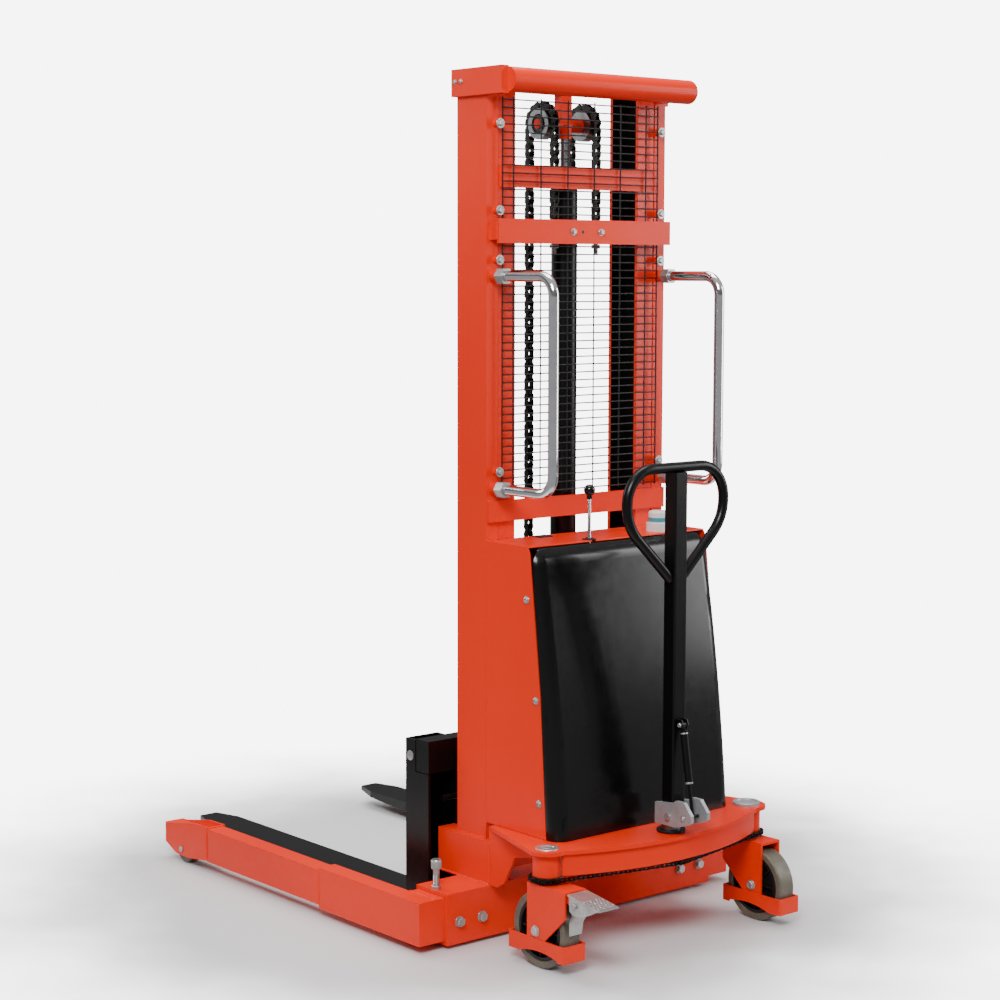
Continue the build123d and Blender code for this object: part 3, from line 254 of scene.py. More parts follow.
def channel():
    """Mast column: painted outside, dark greased steel on the running faces inside the channel."""
    k = Mat("mast_channel", rough=0.30, coat=0.06, spec=0.22)
    web_x, slot_half, slot_back = 0.2445, 0.0425, 0.364
    p = k.xyz()
    ax = k.math("ABSOLUTE", p["X"])
    inside = k.math("LESS_THAN", ax, web_x)
    dy = k.math("ABSOLUTE", k.math("ADD", p["Y"], slot_back - DY))
    inside = k.math("MULTIPLY", inside, k.math("LESS_THAN", dy, slot_half))
    tone = k.mix(k.ramp(k.noise(2.2, 2.0), [(0.35, 0.0), (0.7, 1.0)]), *ORANGE_TONES)
    streaks = k.noise(60, 5.0, 0.6, k.stretch(1, 1, 0.08))
    grease = k.mix(streaks, (0.0025, 0.0025, 0.0025, 1), (0.008, 0.0075, 0.007, 1))
    k.colour(k.mix(inside, tone, grease))
    k.rough(k.noise(24, 4.0), 0.22, 0.36)
    k.bump(k.noise(420, 2.0), 0.12, 0.0006)
    return k.m


CHANNEL = channel()

# ------------------------------------------------------------------ mesh helpers


def finish_mesh(name, bm, body, material, smooth=30, bevel=0.0):
    """Turns a bmesh into a riding object with smooth shading by angle."""
    mesh = bpy.data.meshes.new(name)
    bmesh.ops.recalc_face_normals(bm, faces=bm.faces[:])
    bm.to_mesh(mesh)
    bm.free()
    obj = bpy.data.objects.new(name, mesh)
    bpy.context.scene.collection.objects.link(obj)
    mesh.materials.append(material)
    for poly in mesh.polygons:
        poly.use_smooth = True
    mesh.set_sharp_from_angle(angle=math.radians(smooth))
    if bevel:
        mod = obj.modifiers.new("edges", "BEVEL")
        mod.width = bevel
        mod.segments = 2
        mod.limit_method = "ANGLE"
        mod.angle_limit = math.radians(40)
        mod.harden_normals = True
    if body:
        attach(obj, body)
    return obj


def axis_matrix(centre, axis):
    """Matrix whose Z runs along axis, placed at centre."""
    return Matrix.Translation(Vector(centre)) @ Vector(axis).to_track_quat("Z", "Y").to_matrix().to_4x4()


def lathe(bm, profile, centre, axis, steps=32, phase=0.0):
    """Revolves (radius, height) pairs about the axis."""
    m = axis_matrix(centre, axis)
    rings = []
    for r, h in profile:
        if r < 1e-6:
            rings.append([bm.verts.new(m @ Vector((0, 0, h)))])
            continue
        ring = []
        for i in range(steps):
            a = 2 * math.pi * i / steps + phase
            ring.append(bm.verts.new(m @ Vector((r * math.cos(a), r * math.sin(a), h))))
        rings.append(ring)
    for lower, upper in zip(rings, rings[1:]):
        for i in range(steps):
            j = (i + 1) % steps
            if len(lower) == 1 and len(upper) == 1:
                continue
            if len(lower) == 1:
                bm.faces.new((lower[0], upper[i], upper[j]))
            elif len(upper) == 1:
                bm.faces.new((lower[i], lower[j], upper[0]))
            else:
                bm.faces.new((lower[i], lower[j], upper[j], upper[i]))


def washer(bm, centre, axis, r_in, r_out, t):
    lathe(bm, [(r_in, 0), (r_out - 0.0004, 0), (r_out, 0.0004), (r_out, t - 0.0004),
               (r_out - 0.0004, t), (r_in, t), (r_in, 0)], centre, axis, 36)


def hex_head(bm, centre, axis, af, height, phase=0.3):
    """A hex head with a chamfered top and a slightly dished face."""
    r = af / math.sqrt(3)
    lathe(bm, [(0, 0), (r, 0), (r, height - r * 0.14), (r * 0.86, height), (r * 0.62, height),
               (r * 0.58, height - 0.0006), (0, height - 0.0006)], centre, axis, 6, phase)


def button_head(bm, centre, axis, r, height):
    """A domed screw with a hexagon socket."""
    lathe(bm, [(0, 0), (r, 0), (r, height * 0.25), (r * 0.92, height * 0.6), (r * 0.72, height * 0.88),
               (r * 0.5, height)], centre, axis, 28)
    lathe(bm, [(r * 0.5, height), (r * 0.42, height), (r * 0.42, height * 0.35), (0, height * 0.35)],
          centre, axis, 28)


def tube_curve(name, points, radius, body, material):
    """A round wire through straight runs."""
    curve = bpy.data.curves.new(name, "CURVE")
    curve.dimensions = "3D"
    curve.bevel_depth = radius
    curve.bevel_resolution = 3
    curve.use_fill_caps = True
    for run in points:
        spline = curve.splines.new("POLY")
        spline.points.add(len(run) - 1)
        for p, co in zip(spline.points, run):
            p.co = (*co, 1)
    obj = bpy.data.objects.new(name, curve)
    bpy.context.scene.collection.objects.link(obj)
    curve.materials.append(material)
    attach(obj, body)
    return obj


def mid(node):
    lo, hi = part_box(node)
    return (Vector(lo) + Vector(hi)) / 2


# ------------------------------------------------------------------ CAD nodes kept, with materials and edges
KEEP = {
    "outer_mast_columns": (ORANGE, 0.0022), "top_crossmember": (ORANGE, 0.003),
    "mast_crossbars": (ORANGE, 0.0012),
    "base_beam": (ORANGE, 0.003), "mast_foot_blocks": (ORANGE, 0.0025), "straddle_leg_left": (ORANGE, 0.002),
    "straddle_leg_right": (ORANGE, 0.002), "deck_plate": (ORANGE, 0.0015), "housing_shell": (ORANGE, 0.0012),
    "fork_left": (BLACK, 0.0015), "fork_right": (BLACK, 0.0015), "carriage_frame": (BLACK, 0.002),
    "inner_mast_columns": (CHANNEL, 0.0018), "inner_mast_crossmembers": (ORANGE, 0.0015),
    "sheave_crosshead": (ORANGE, 0.0015), "tiller_arm": (BLACK, 0.0012),
    "lift_cylinder_barrel": (BLACK, 0.002),
    "power_unit_tray": (BLACK, 0.001), "rear_cover": (COVER, 0.001), "oil_filler_cap": (CAP, 0.001),
    "oil_tank": (TANK, 0.002), "handle_nuts": (ZINC, 0.0012), "caster_fork_left": (ORANGE, 0.0014),
    "caster_fork_right": (ORANGE, 0.0014), "caster_axle_left": (ZINC, 0.001),
    "caster_axle_right": (ZINC, 0.001),
    "tiller_pivot_pin": (ZINC, 0.0008), "load_axle_left": (ZINC, 0.001), "load_axle_right": (ZINC, 0.001),
    "mast_guide_rollers": (STEEL, 0.001), "carriage_rollers": (STEEL, 0.001),
    "steering_post": (STEEL, 0.0008),
    "caster_sprocket_left": (STEEL, 0.0005), "caster_sprocket_right": (STEEL, 0.0005),
    "chain_sheave_left": (STEEL, 0.001), "chain_sheave_right": (STEEL, 0.001), "side_handles": (CHROME, 0.0),
    "piston_rod": (ROD, 0.0), "gas_spring_rod": (BLACK, 0.0005), "caster_tread_left": (TREAD, 0.0),
    "caster_tread_right": (TREAD, 0.0), "load_wheel_left": (TREAD, 0.0), "load_wheel_right": (TREAD, 0.0),
    "caster_hub_left": (DARKHUB, 0.001), "caster_hub_right": (DARKHUB, 0.001), "battery": (BATTERY, 0.002),
    "pump_motor": (BLACK, 0.001), "hydraulic_hose": (BATTERY, 0.0), "tiller_bracket": (CAST, 0.0016),
    "gas_spring_barrel": (BLACK, 0.0006), "brake_pedal": (ZINC, 0.0006),
}
for node, (material, width) in KEEP.items():
    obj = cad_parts[node]
    if not obj.material_slots:
        obj.data.materials.append(material)
    for s in obj.material_slots:
        s.link = "OBJECT"
        s.material = material
    if width:
        mod = obj.modifiers.new("edges", "BEVEL")
        mod.width = width
        mod.segments = 2
        mod.limit_method = "ANGLE"
        mod.angle_limit = math.radians(35)
        mod.harden_normals = False

# ------------------------------------------------------------------ wire guard
g_lo, g_hi = (Vector(v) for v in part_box("mesh_guard"))
bar_lo = Vector(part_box("mast_crossbars")[0])
WIRE_R = 0.0017
ROW_STEP = 0.019
BAR_GAP = (1.667, 1.733)  # no cross wires behind the anchor bar
wires = []
z = g_lo.z + 0.006
row = 0
while z < g_hi.z - 0.003:
    if not (BAR_GAP[0] < z < BAR_GAP[1]):
        run = []
        for i in range(23):
            x = g_lo.x + (g_hi.x - g_lo.x) * i / 22
            run.append((x, g_lo.y + WIRE_R, z + 0.0006 * noise.noise(Vector((x * 9, row * 1.7, 0)))))
        wires.append(run)
    z += ROW_STEP
    row += 1
for x in [g_lo.x + 0.0012] + [-0.218 + 0.086 * k for k in range(6)] + [g_hi.x - 0.0012]:
    run = []
    for i in range(40):
        zz = g_lo.z + (g_hi.z - g_lo.z) * i / 39
        run.append((x + 0.0006 * noise.noise(Vector((x * 31, zz * 6, 3))), g_hi.y - WIRE_R, zz))
    wires.append(run)
guard = tube_curve("guard_wires", wires, WIRE_R, "chassis", MESHBLACK)
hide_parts("mesh_guard")

# ------------------------------------------------------------------ roller chains


def plate_outline(pitch, height, waist=0.8, steps=7):
    """Half-length outline of a link plate centred between two pins, as (along, across) pairs."""
    r = height / 2
    pts = []
    for i in range(steps + 1):
        a = -math.pi / 2 + math.pi * i / steps
        pts.append((pitch / 2 + r * math.cos(a), r * math.sin(a)))
    pts.append((0.0, r * waist))
    for i in range(steps + 1):
        a = math.pi / 2 + math.pi * i / steps
        pts.append((-pitch / 2 + r * math.cos(a), r * math.sin(a)))
    pts.append((0.0, -r * waist))
    return pts


def chain(bm, pins, side, pitch, height, inner, plate_t, roller_r, closed=False):
    """Links between successive pin positions; side is the unit vector along the pins."""
    side = Vector(side)
    outline = plate_outline(pitch, height)
    count = len(pins) if closed else len(pins) - 1
    for i in range(count):
        a, b = Vector(pins[i]), Vector(pins[(i + 1) % len(pins)])
        along = (b - a).normalized()
        across = side.cross(along)
        centre = (a + b) / 2
        gap = inner / 2 if i % 2 == 0 else inner / 2 + plate_t
        for s in (-1, 1):
            lo = [bm.verts.new(centre + along * u + across * v + side * s * gap) for u, v in outline]
            hi = [bm.verts.new(centre + along * u + across * v + side * s * (gap + plate_t))
                  for u, v in outline]
            n = len(outline)
            bm.faces.new(lo)
            bm.faces.new(hi[::-1])
            for k in range(n):
                bm.faces.new((lo[k], lo[(k + 1) % n], hi[(k + 1) % n], hi[k]))
    for p in pins:
        half = inner / 2
        ends = half + 2 * plate_t + 0.0006
        lathe(bm, [(roller_r, -half), (roller_r, half)], p, side, 12)
        lathe(bm, [(0, -ends), (roller_r * 0.42, -ends), (roller_r * 0.42, ends), (0, ends)], p, side, 8)


sheave_mid = {"left": mid("chain_sheave_left"), "right": mid("chain_sheave_right")}
anchor_lo = Vector(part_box("lift_chain_anchor_strands")[0])
front_lo, front_hi = (Vector(v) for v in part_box("lift_chain_carriage_strands"))
LIFT_PITCH = 0.01905
WRAP_R = 0.046
# pitch, plate height, inner width, plate thickness, roller radius
LIFT_LINK = (LIFT_PITCH, 0.0165, 0.0095, 0.0022, 0.0058)
rear_bm = bmesh.new()
front_bm = bmesh.new()
for side in ("left", "right"):
    c = sheave_mid[side]
    rear = []
    z = anchor_lo.z + 0.006
    while z < c.z:
        rear.append((c.x, c.y - WRAP_R, z))
        z += LIFT_PITCH
    step = LIFT_PITCH / WRAP_R
    over = z - c.z
    pins = [rear[-1]]
    a = over / WRAP_R
    while a < math.pi:
        pins.append((c.x, c.y - WRAP_R * math.cos(a), c.z + WRAP_R * math.sin(a)))
        a += step
    z = c.z - (a - math.pi) * WRAP_R
    while z > front_lo.z + 0.004:
        pins.append((c.x, c.y + WRAP_R, z))
        z -= LIFT_PITCH
    chain(rear_bm, rear, (1, 0, 0), *LIFT_LINK)
    chain(front_bm, pins, (1, 0, 0), *LIFT_LINK)
rear_chain = finish_mesh("rear_chain_strands", rear_bm, None, CHAIN, 35)
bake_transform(rear_chain)
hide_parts("lift_chain_anchor_strands")
front_chain = finish_mesh("front_chain_strands", front_bm, None, CHAIN, 35)
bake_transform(front_chain)
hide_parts("lift_chain_carriage_strands")

# painted shade: dark discs at the outer ends of the chain wheels stand for the shade inside their bores
bm = bmesh.new()
for s in (-1, 1):
    c = sheave_mid["left" if s < 0 else "right"]
    lathe(bm, [(0.0, 0.0), (0.0125, 0.0), (0.0130, 0.0012), (0.0185, 0.0014), (0.0190, 0.0026),
               (0.0205, 0.0026), (0.0210, 0.0), (0.0200, -0.002)],
          (c.x + s * 0.0128, c.y, c.z), (s, 0, 0), 40)
finish_mesh("sheave_bore_shade_discs", bm, "inner_mast", BATTERY, 30)

# steering chain round three sprockets
post = mid("steering_post")
left = mid("caster_sprocket_left")
right = mid("caster_sprocket_right")
SPROCKET_R = 0.0399
STEER_PITCH = 0.0127
centres = [Vector((p.x, p.y)) for p in (left, post, right)]
loop = []
for k in range(3):
    a, b = centres[k], centres[(k + 1) % 3]
    d = (b - a).normalized()
    out = Vector((d.y, -d.x))
    loop.append((a + out * SPROCKET_R, b + out * SPROCKET_R))
path = []
for k in range(3):
    p, q = loop[k]
    path += [p.lerp(q, i / 60) for i in range(61)]
    c = centres[(k + 1) % 3]
    a0 = math.atan2(*(q - c).yx)
    a1 = math.atan2(*(loop[(k + 1) % 3][0] - c).yx)
    while a1 < a0:
        a1 += 2 * math.pi
    path += [c + SPROCKET_R * Vector((math.cos(a0 + (a1 - a0) * i / 40), math.sin(a0 + (a1 - a0) * i / 40)))
             for i in range(1, 40)]
lengths = [0.0]
for p, q in zip(path, path[1:] + path[:1]):
    lengths.append(lengths[-1] + (q - p).length)
links = 2 * round(lengths[-1] / STEER_PITCH / 2)
pins = []
j = 0
for i in range(links):
    want = lengths[-1] * i / links
    while lengths[j + 1] < want:
        j += 1
    f = (want - lengths[j]) / max(lengths[j + 1] - lengths[j], 1e-9)
    p = path[j].lerp(path[(j + 1) % len(path)], f)
    pins.append((p.x, p.y, left.z))
bm = bmesh.new()
chain(bm, pins, (0, 0, 1), lengths[-1] / links, 0.0085, 0.0034, 0.0013, 0.0034, closed=True)
steer_chain = finish_mesh("steering_roller_chain", bm, "chassis", CHAIN, 35)
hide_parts("steering_chain")

# ------------------------------------------------------------------ fasteners
THREAD_STEP = 0.0008


def threaded(crest, root, thread, length):
    """Lathe profile of a rod that is threaded up to thread and plain from there to its end."""
    profile = [(0.0, 0.0)]
    for i in range(int(thread / THREAD_STEP)):
        profile.append((crest if i % 2 else root, i * THREAD_STEP))
    return profile + [(crest, thread), (crest, length)]


bm = bmesh.new()
lo, hi = (Vector(v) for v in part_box("guard_screws"))
lug_x = (hi.x - lo.x) / 2 - 0.012
seat_y = g_lo.y
for s in (-1, 1):
    for z in (1.130, 1.632, 1.748, 1.950):
        washer(bm, (s * lug_x, seat_y, z), (0, -1, 0), 0.002, 0.012, 0.0022)
        hex_head(bm, (s * lug_x, seat_y - 0.0022, z), (0, -1, 0), 0.012, 0.006, 0.2 * z)
        lathe(bm, [(0.004, 0), (0.004, 0.006)], (s * lug_x, seat_y, z), (0, 1, 0), 12)
screws = finish_mesh("guard_hex_screws", bm, "chassis", ZINC, 30)
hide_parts("guard_screws")

bm = bmesh.new()
for s in (-1, 1):
    for y, z in ((DY - 0.567, 0.841), (DY - 0.602, 0.606), (DY - 0.614, 0.362)):
        washer(bm, (s * 0.2902, y, z), (s, 0, 0), 0.003, 0.0095, 0.0014)
        button_head(bm, (s * 0.2916, y, z), (s, 0, 0), 0.0072, 0.0042)
screws = finish_mesh("cover_button_screws", bm, "chassis", ZINC, 35)
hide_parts("cover_screws")

bm = bmesh.new()
beam_lo, beam_hi = (Vector(v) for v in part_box("base_beam"))
CLAMP_X, CLAMP_Y, CLAMP_TOP = 0.421, DY - 0.391, 0.183
for s in (-1, 1):
    for x in (0.332, 0.401):
        washer(bm, (s * x, beam_lo.y, 0.064), (0, -1, 0), 0.004, 0.0135, 0.0022)
        hex_head(bm, (s * x, beam_lo.y - 0.0022, 0.064), (0, -1, 0), 0.021, 0.0088, x)
        lathe(bm, [(0.007, -0.0075), (0.007, 0)], (s * x, beam_lo.y, 0.064), (0, -1, 0), 16)
    # clamp screw: threaded shank and knurled socket head
    base = Vector((s * CLAMP_X, CLAMP_Y, beam_hi.z - 0.006))
    top = CLAMP_TOP - base.z
    lathe(bm, threaded(0.0079, 0.0072, top - 0.012, top), base, (0, 0, 1), 20)
    head = Vector((s * CLAMP_X, CLAMP_Y, CLAMP_TOP))
    lathe(bm, [(0.0, 0), (0.0115, 0), (0.0124, 0.001), (0.0124, 0.021), (0.0112, 0.023), (0.0072, 0.023)],
          head, (0, 0, 1), 40)
    lathe(bm, [(0.0072, 0.023), (0.0070, 0.012), (0.0, 0.012)], head, (0, 0, 1), 6)
    for i in range(40):
        a = 2 * math.pi * i / 40
        lathe(bm, [(0.0, 0.0025), (0.00045, 0.003), (0.00045, 0.0195), (0.0, 0.020)],
              head + Vector((0.0124 * math.cos(a), 0.0124 * math.sin(a), 0)), (0, 0, 1), 4)
    hex_head(bm, (s * CLAMP_X, CLAMP_Y, beam_hi.z), (0, 0, 1), 0.022, 0.008, 0.2)
bolts = finish_mesh("leg_bolts_detailed", bm, "chassis", ZINC, 30)
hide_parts("leg_lock_bolts")

bm = bmesh.new()
lo, hi = (Vector(v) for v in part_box("chain_anchor_bolts"))
yc = (lo.y + hi.y) / 2
for s in (-1, 1):
    x = s * 0.068
    lathe(bm, threaded(0.0059, 0.0053, 0.034, hi.z - lo.z), (x, yc, lo.z), (0, 0, 1), 16)
    hex_head(bm, (x, yc, 1.672), (0, 0, 1), 0.019, 0.0098, 0.1)
    hex_head(bm, (x, yc, 1.661), (0, 0, 1), 0.019, 0.0098, 0.4)
anchors = finish_mesh("anchor_bolts_detailed", bm, "chassis", ZINC, 30)
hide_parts("chain_anchor_bolts")

# extra fasteners on the bars and the top member
bm = bmesh.new()
t_lo = Vector(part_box("top_crossmember")[0])
RIGHT_PLATE_X = 0.278
BAR_Z = 1.700
for s in (-1, 1):
    for y in (DY - 0.312, DY - 0.334):
        face = t_lo.x if s < 0 else RIGHT_PLATE_X
        washer(bm, (face, y, 2.050), (s, 0, 0), 0.002, 0.0062, 0.0010)
        button_head(bm, (face + s * 0.001, y, 2.050), (s, 0, 0), 0.0048, 0.004)
for x in (-0.045, 0.045):
    washer(bm, (x, bar_lo.y, BAR_Z), (0, -1, 0), 0.002, 0.0085, 0.0012)
    hex_head(bm, (x, bar_lo.y - 0.0012, BAR_Z), (0, -1, 0), 0.0105, 0.006, 0.5)
finish_mesh("bar_screws", bm, "chassis", ZINC, 30)
bm = bmesh.new()
lathe(bm, [(0.0, 0.0), (0.0042, 0.0), (0.0042, 0.0002), (0.0, 0.0002)],
      (-0.015, bar_lo.y, BAR_Z), (0, -1, 0), 20)
finish_mesh("bar_hole_shadow", bm, "chassis", BLACK, 30)

# ------------------------------------------------------------------ control lever
l_lo, l_hi = (Vector(v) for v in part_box("control_lever"))
lx, ly = (l_lo.x + l_hi.x) / 2, (l_lo.y + l_hi.y) / 2
bm = bmesh.new()
lathe(bm, [(0.0, 0.0), (0.0060, 0.0), (0.0060, 0.008), (0.0040, 0.012), (0.0040, 0.132),
           (0.0034, 0.133), (0.0, 0.133)],
      (lx, ly, 0.936), (0, 0, 1), 24)
lever = finish_mesh("lever_rod", bm, "control_lever", CHROME, 35)
bm = bmesh.new()
ball = [(0.0, -0.0140)]
for i in range(1, 24):
    a = -math.pi / 2 + math.pi * i / 24
    ball.append((0.0140 * math.cos(a), 0.0140 * math.sin(a)))
ball.append((0.0, 0.0140))
lathe(bm, ball, (lx, ly, l_hi.z - 0.0142), (0, 0, 1), 40)
lathe(bm, [(0.0062, 0.0), (0.0066, 0.001), (0.0066, 0.007), (0.0056, 0.008)],
      (lx, ly, l_hi.z - 0.0355), (0, 0, 1), 32)
finish_mesh("lever_ball", bm, "control_lever", KNOB, 40)
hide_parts("control_lever")
h_hi = Vector(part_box("housing_shell")[1])
bm = bmesh.new()
lathe(bm, [(0.017, 0.0), (0.017, 0.0012), (0.0105, 0.0018), (0.0095, 0.004),
           (0.0078, 0.0045), (0.0075, 0.003), (0.0, 0.003)],
      (lx, ly, h_hi.z), (0, 0, 1), 36)
finish_mesh("lever_grommet", bm, "chassis", BATTERY, 35)

bm = bmesh.new()
plate = ((-0.150, -0.110), (DY - 0.455, DY - 0.424), (h_hi.z, h_hi.z + 0.002))
corners = [bm.verts.new((x, y, z)) for z in plate[2] for y in plate[1] for x in plate[0]]
for q in ((0, 1, 3, 2), (4, 5, 7, 6), (0, 1, 5, 4), (2, 3, 7, 6), (0, 2, 6, 4), (1, 3, 7, 5)):
    bm.faces.new([corners[i] for i in q])
finish_mesh("top_frame_plate", bm, "chassis", BATTERY, 30, 0.0006)

# ------------------------------------------------------------------ deck caps
d_lo, d_hi = (Vector(v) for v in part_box("deck_plate"))
STEM_X, STEM_Y = 0.331, DY - 0.690
bm = bmesh.new()
lathe(bm, [(0.0, 0.0015), (0.008, 0.0015), (0.009, 0.0006), (0.016, 0.0006), (0.017, 0.0018),
           (0.0262, 0.0018), (0.0275, 0.0010), (0.028, 0.0), (0.0, 0.0)],
      (-STEM_X, STEM_Y, d_hi.z), (0, 0, 1), 56)
finish_mesh("stem_cap_left", bm, "chassis", ZINC, 30)
bm = bmesh.new()
lathe(bm, [(0.0, 0.0060), (0.020, 0.0060), (0.0215, 0.0048), (0.0235, 0.0048), (0.025, 0.0078),
           (0.0320, 0.0078), (0.0342, 0.0064), (0.0346, 0.0), (0.0, 0.0)],
      (STEM_X, STEM_Y, d_hi.z), (0, 0, 1), 56)
finish_mesh("stem_cap_right", bm, "chassis", CAST, 30)
bm = bmesh.new()
lathe(bm, [(0.0242, 0.0), (0.034, 0.0), (0.0345, 0.001), (0.0345, 0.006), (0.0335, 0.007), (0.0242, 0.007)],
      (0, DY - 0.760, d_hi.z), (0, 0, 1), 48)
finish_mesh("post_collar", bm, "chassis", BATTERY, 30)

# ------------------------------------------------------------------ brake pedal tread
p_lo, p_hi = (Vector(v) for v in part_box("brake_pedal"))
bm = bmesh.new()
slope = math.atan2(0.015, 0.106)
normal = Vector((0, -math.sin(slope), math.cos(slope)))
down = Vector((0, -math.cos(slope), -math.sin(slope)))
start = Vector(((p_lo.x + p_hi.x) / 2, DY - 0.796, p_hi.z))
for r in range(7):
    for c in range(6):
        pos = start + down * (0.052 + 0.0080 * r) + normal * 0.0001
        pos += Vector((-0.0225 + 0.009 * c + (0.0022 if r % 2 else -0.0022), 0, 0))
        turn = math.radians(45 if (r + c) % 2 else -45)
        m = (Matrix.Translation(pos) @ normal.to_track_quat("Z", "Y").to_matrix().to_4x4()
             @ Matrix.Rotation(turn, 4, "Z"))
        bmesh.ops.create_icosphere(bm, subdivisions=2, radius=1.0,
                                   matrix=m @ Matrix.Diagonal((0.0040, 0.0016, 0.0012, 1)))
for t in (-1, 1):
    hex_head(bm, (start.x + t * 0.0300, DY - 0.818, 0.176), (t, 0, 0), 0.012, 0.004, 0.3)
finish_mesh("pedal_chequer", bm, "brake_pedal", ZINC, 60)

# ------------------------------------------------------------------ weld beads


def weld(name, runs, body, radius=0.0032, material=ORANGE):
    """Rippled fillet welds under the paint, along straight runs."""
    bm = bmesh.new()
    for a, b in runs:
        a, b = Vector(a), Vector(b)
        d = b - a
        m = axis_matrix(a, d)
        steps = max(4, int(d.length / 0.0016))
        rings = []
        for i in range(steps + 1):
            t = i / steps
            r = radius * (1 + 0.16 * math.sin(i * 2.2)
                          + 0.14 * noise.noise(a + d * t * 1.0 + Vector((0, 0, i))))
            if i in (0, steps):
                r *= 0.4
            rings.append([bm.verts.new(m @ Vector((r * math.cos(k * math.pi / 4),
                                                   r * math.sin(k * math.pi / 4), d.length * t)))
                          for k in range(8)])
        for p, q in zip(rings, rings[1:]):
            for k in range(8):
                bm.faces.new((p[k], p[(k + 1) % 8], q[(k + 1) % 8], q[k]))
        bm.faces.new(rings[0])
        bm.faces.new(rings[-1])
    return finish_mesh(name, bm, body, material, 60)


c_hi = Vector(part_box("outer_mast_columns")[1])
f_hi = Vector(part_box("mast_foot_blocks")[1])
MAST_X = 0.290
runs = []
for s in (-1, 1):
    runs.append(((s * f_hi.x, f_hi.y - 0.002, beam_hi.z), (s * f_hi.x, DY - 0.448, beam_hi.z)))
    runs.append(((s * f_hi.x, DY - 0.450, beam_hi.z + 0.004), (s * f_hi.x, DY - 0.450, 0.238)))
    runs.append(((s * MAST_X, c_hi.y - 0.002, 0.240), (s * MAST_X, DY - 0.416, 0.240)))
    runs.append(((s * MAST_X, DY - 0.416, 0.242), (s * MAST_X, DY - 0.418, 0.279)))
    runs.append(((s * MAST_X, DY - 0.416, 2.016), (s * MAST_X, DY - 0.310, 2.016)))
    runs.append(((s * 0.279, DY - 0.444, 1.680), (s * 0.279, DY - 0.444, 1.720)))
    runs.append(((s * 0.302, DY - 0.455, d_lo.z + 0.058), (s * 0.302, DY - 0.636, d_lo.z + 0.058)))
weld("mast_welds", runs, "chassis")
for s, name in ((-1, "left"), (1, "right")):
    out = s * 0.515
    inn = s * 0.465
    weld("leg_welds_" + name, [
        ((inn, DY - 0.342, 0.030), (inn, DY - 0.342, 0.124)),
        ((inn, DY - 0.444, 0.126), (inn, DY - 0.344, 0.126)),
        ((out - s * 0.001, DY - 0.035, 0.032), (out - s * 0.001, DY - 0.035, 0.119)),
        ((out, DY - 0.035, 0.120), (inn, DY - 0.035, 0.120)),
        ((out, DY + 0.484, 0.036), (out, DY + 0.484, 0.118)),
        ((out, DY + 0.482, 0.121), (inn, DY + 0.482, 0.121)),
    ], "leg_" + name, 0.0026)

# ------------------------------------------------------------------ caster bolts
for s, name in ((-1, "left"), (1, "right")):
    c = mid("caster_axle_" + name)
    bm = bmesh.new()
    for t in (-1, 1):
        washer(bm, (c.x + t * 0.0332, c.y, c.z), (t, 0, 0), 0.004, 0.0128, 0.0020)
        hex_head(bm, (c.x + t * 0.0352, c.y, c.z), (t, 0, 0), 0.019, 0.0056, 0.4)
    lathe(bm, [(0.0079, -0.033), (0.0079, 0.033)], c, (1, 0, 0), 24)
    axle = finish_mesh("caster_bolt_" + name, bm, "caster_" + name, ZINC, 30)
    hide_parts("caster_axle_" + name)
    c = mid("caster_hub_" + name)
    bm = bmesh.new()
    for t in (-1, 1):
        lathe(bm, [(0.0095, 0), (0.0095, 0.0035), (0.0125, 0.004), (0.0165, 0.003), (0.0185, 0.0)],
              (c.x + t * 0.0230, c.y, c.z), (t, 0, 0), 32)
    finish_mesh("bearing_cover_" + name, bm, "caster_wheel_" + name, STEEL, 30)
    bm = bmesh.new()
    for t in (-1, 1):
        for k in range(8):
            a = 2 * math.pi * k / 8
            d = Vector((0, math.cos(a), math.sin(a)))
            side = Vector((0, -math.sin(a), math.cos(a)))
            p0 = c + d * 0.026 + Vector((t * 0.011, 0, 0))
            p1 = c + d * 0.0638 + Vector((t * 0.011, 0, 0))
            vs = []
            for p in (p0, p1):
                for w, h in ((-0.0025, 0), (0.0025, 0), (0.0018, 0.0085), (-0.0018, 0.0085)):
                    vs.append(bm.verts.new(p + side * w + Vector((t * h, 0, 0))))
            for q in ((0, 1, 2, 3), (7, 6, 5, 4), (0, 4, 5, 1), (1, 5, 6, 2), (2, 6, 7, 3), (3, 7, 4, 0)):
                bm.faces.new([vs[i] for i in q])
    finish_mesh("hub_ribs_" + name, bm, "caster_wheel_" + name, DARKHUB, 30, 0.0006)

# fork shaft heads
bm = bmesh.new()
for s in (-1, 1):
    lathe(bm, [(0.0, 0.0), (0.0122, 0.0), (0.0126, 0.0006), (0.0122, 0.0026),
               (0.0108, 0.0034), (0.0, 0.0034)],
          (s * 0.3352, DY - 0.179, 0.410), (s, 0, 0), 40)
finish_mesh("shaft_heads", bm, "carriage", ZINC, 30)

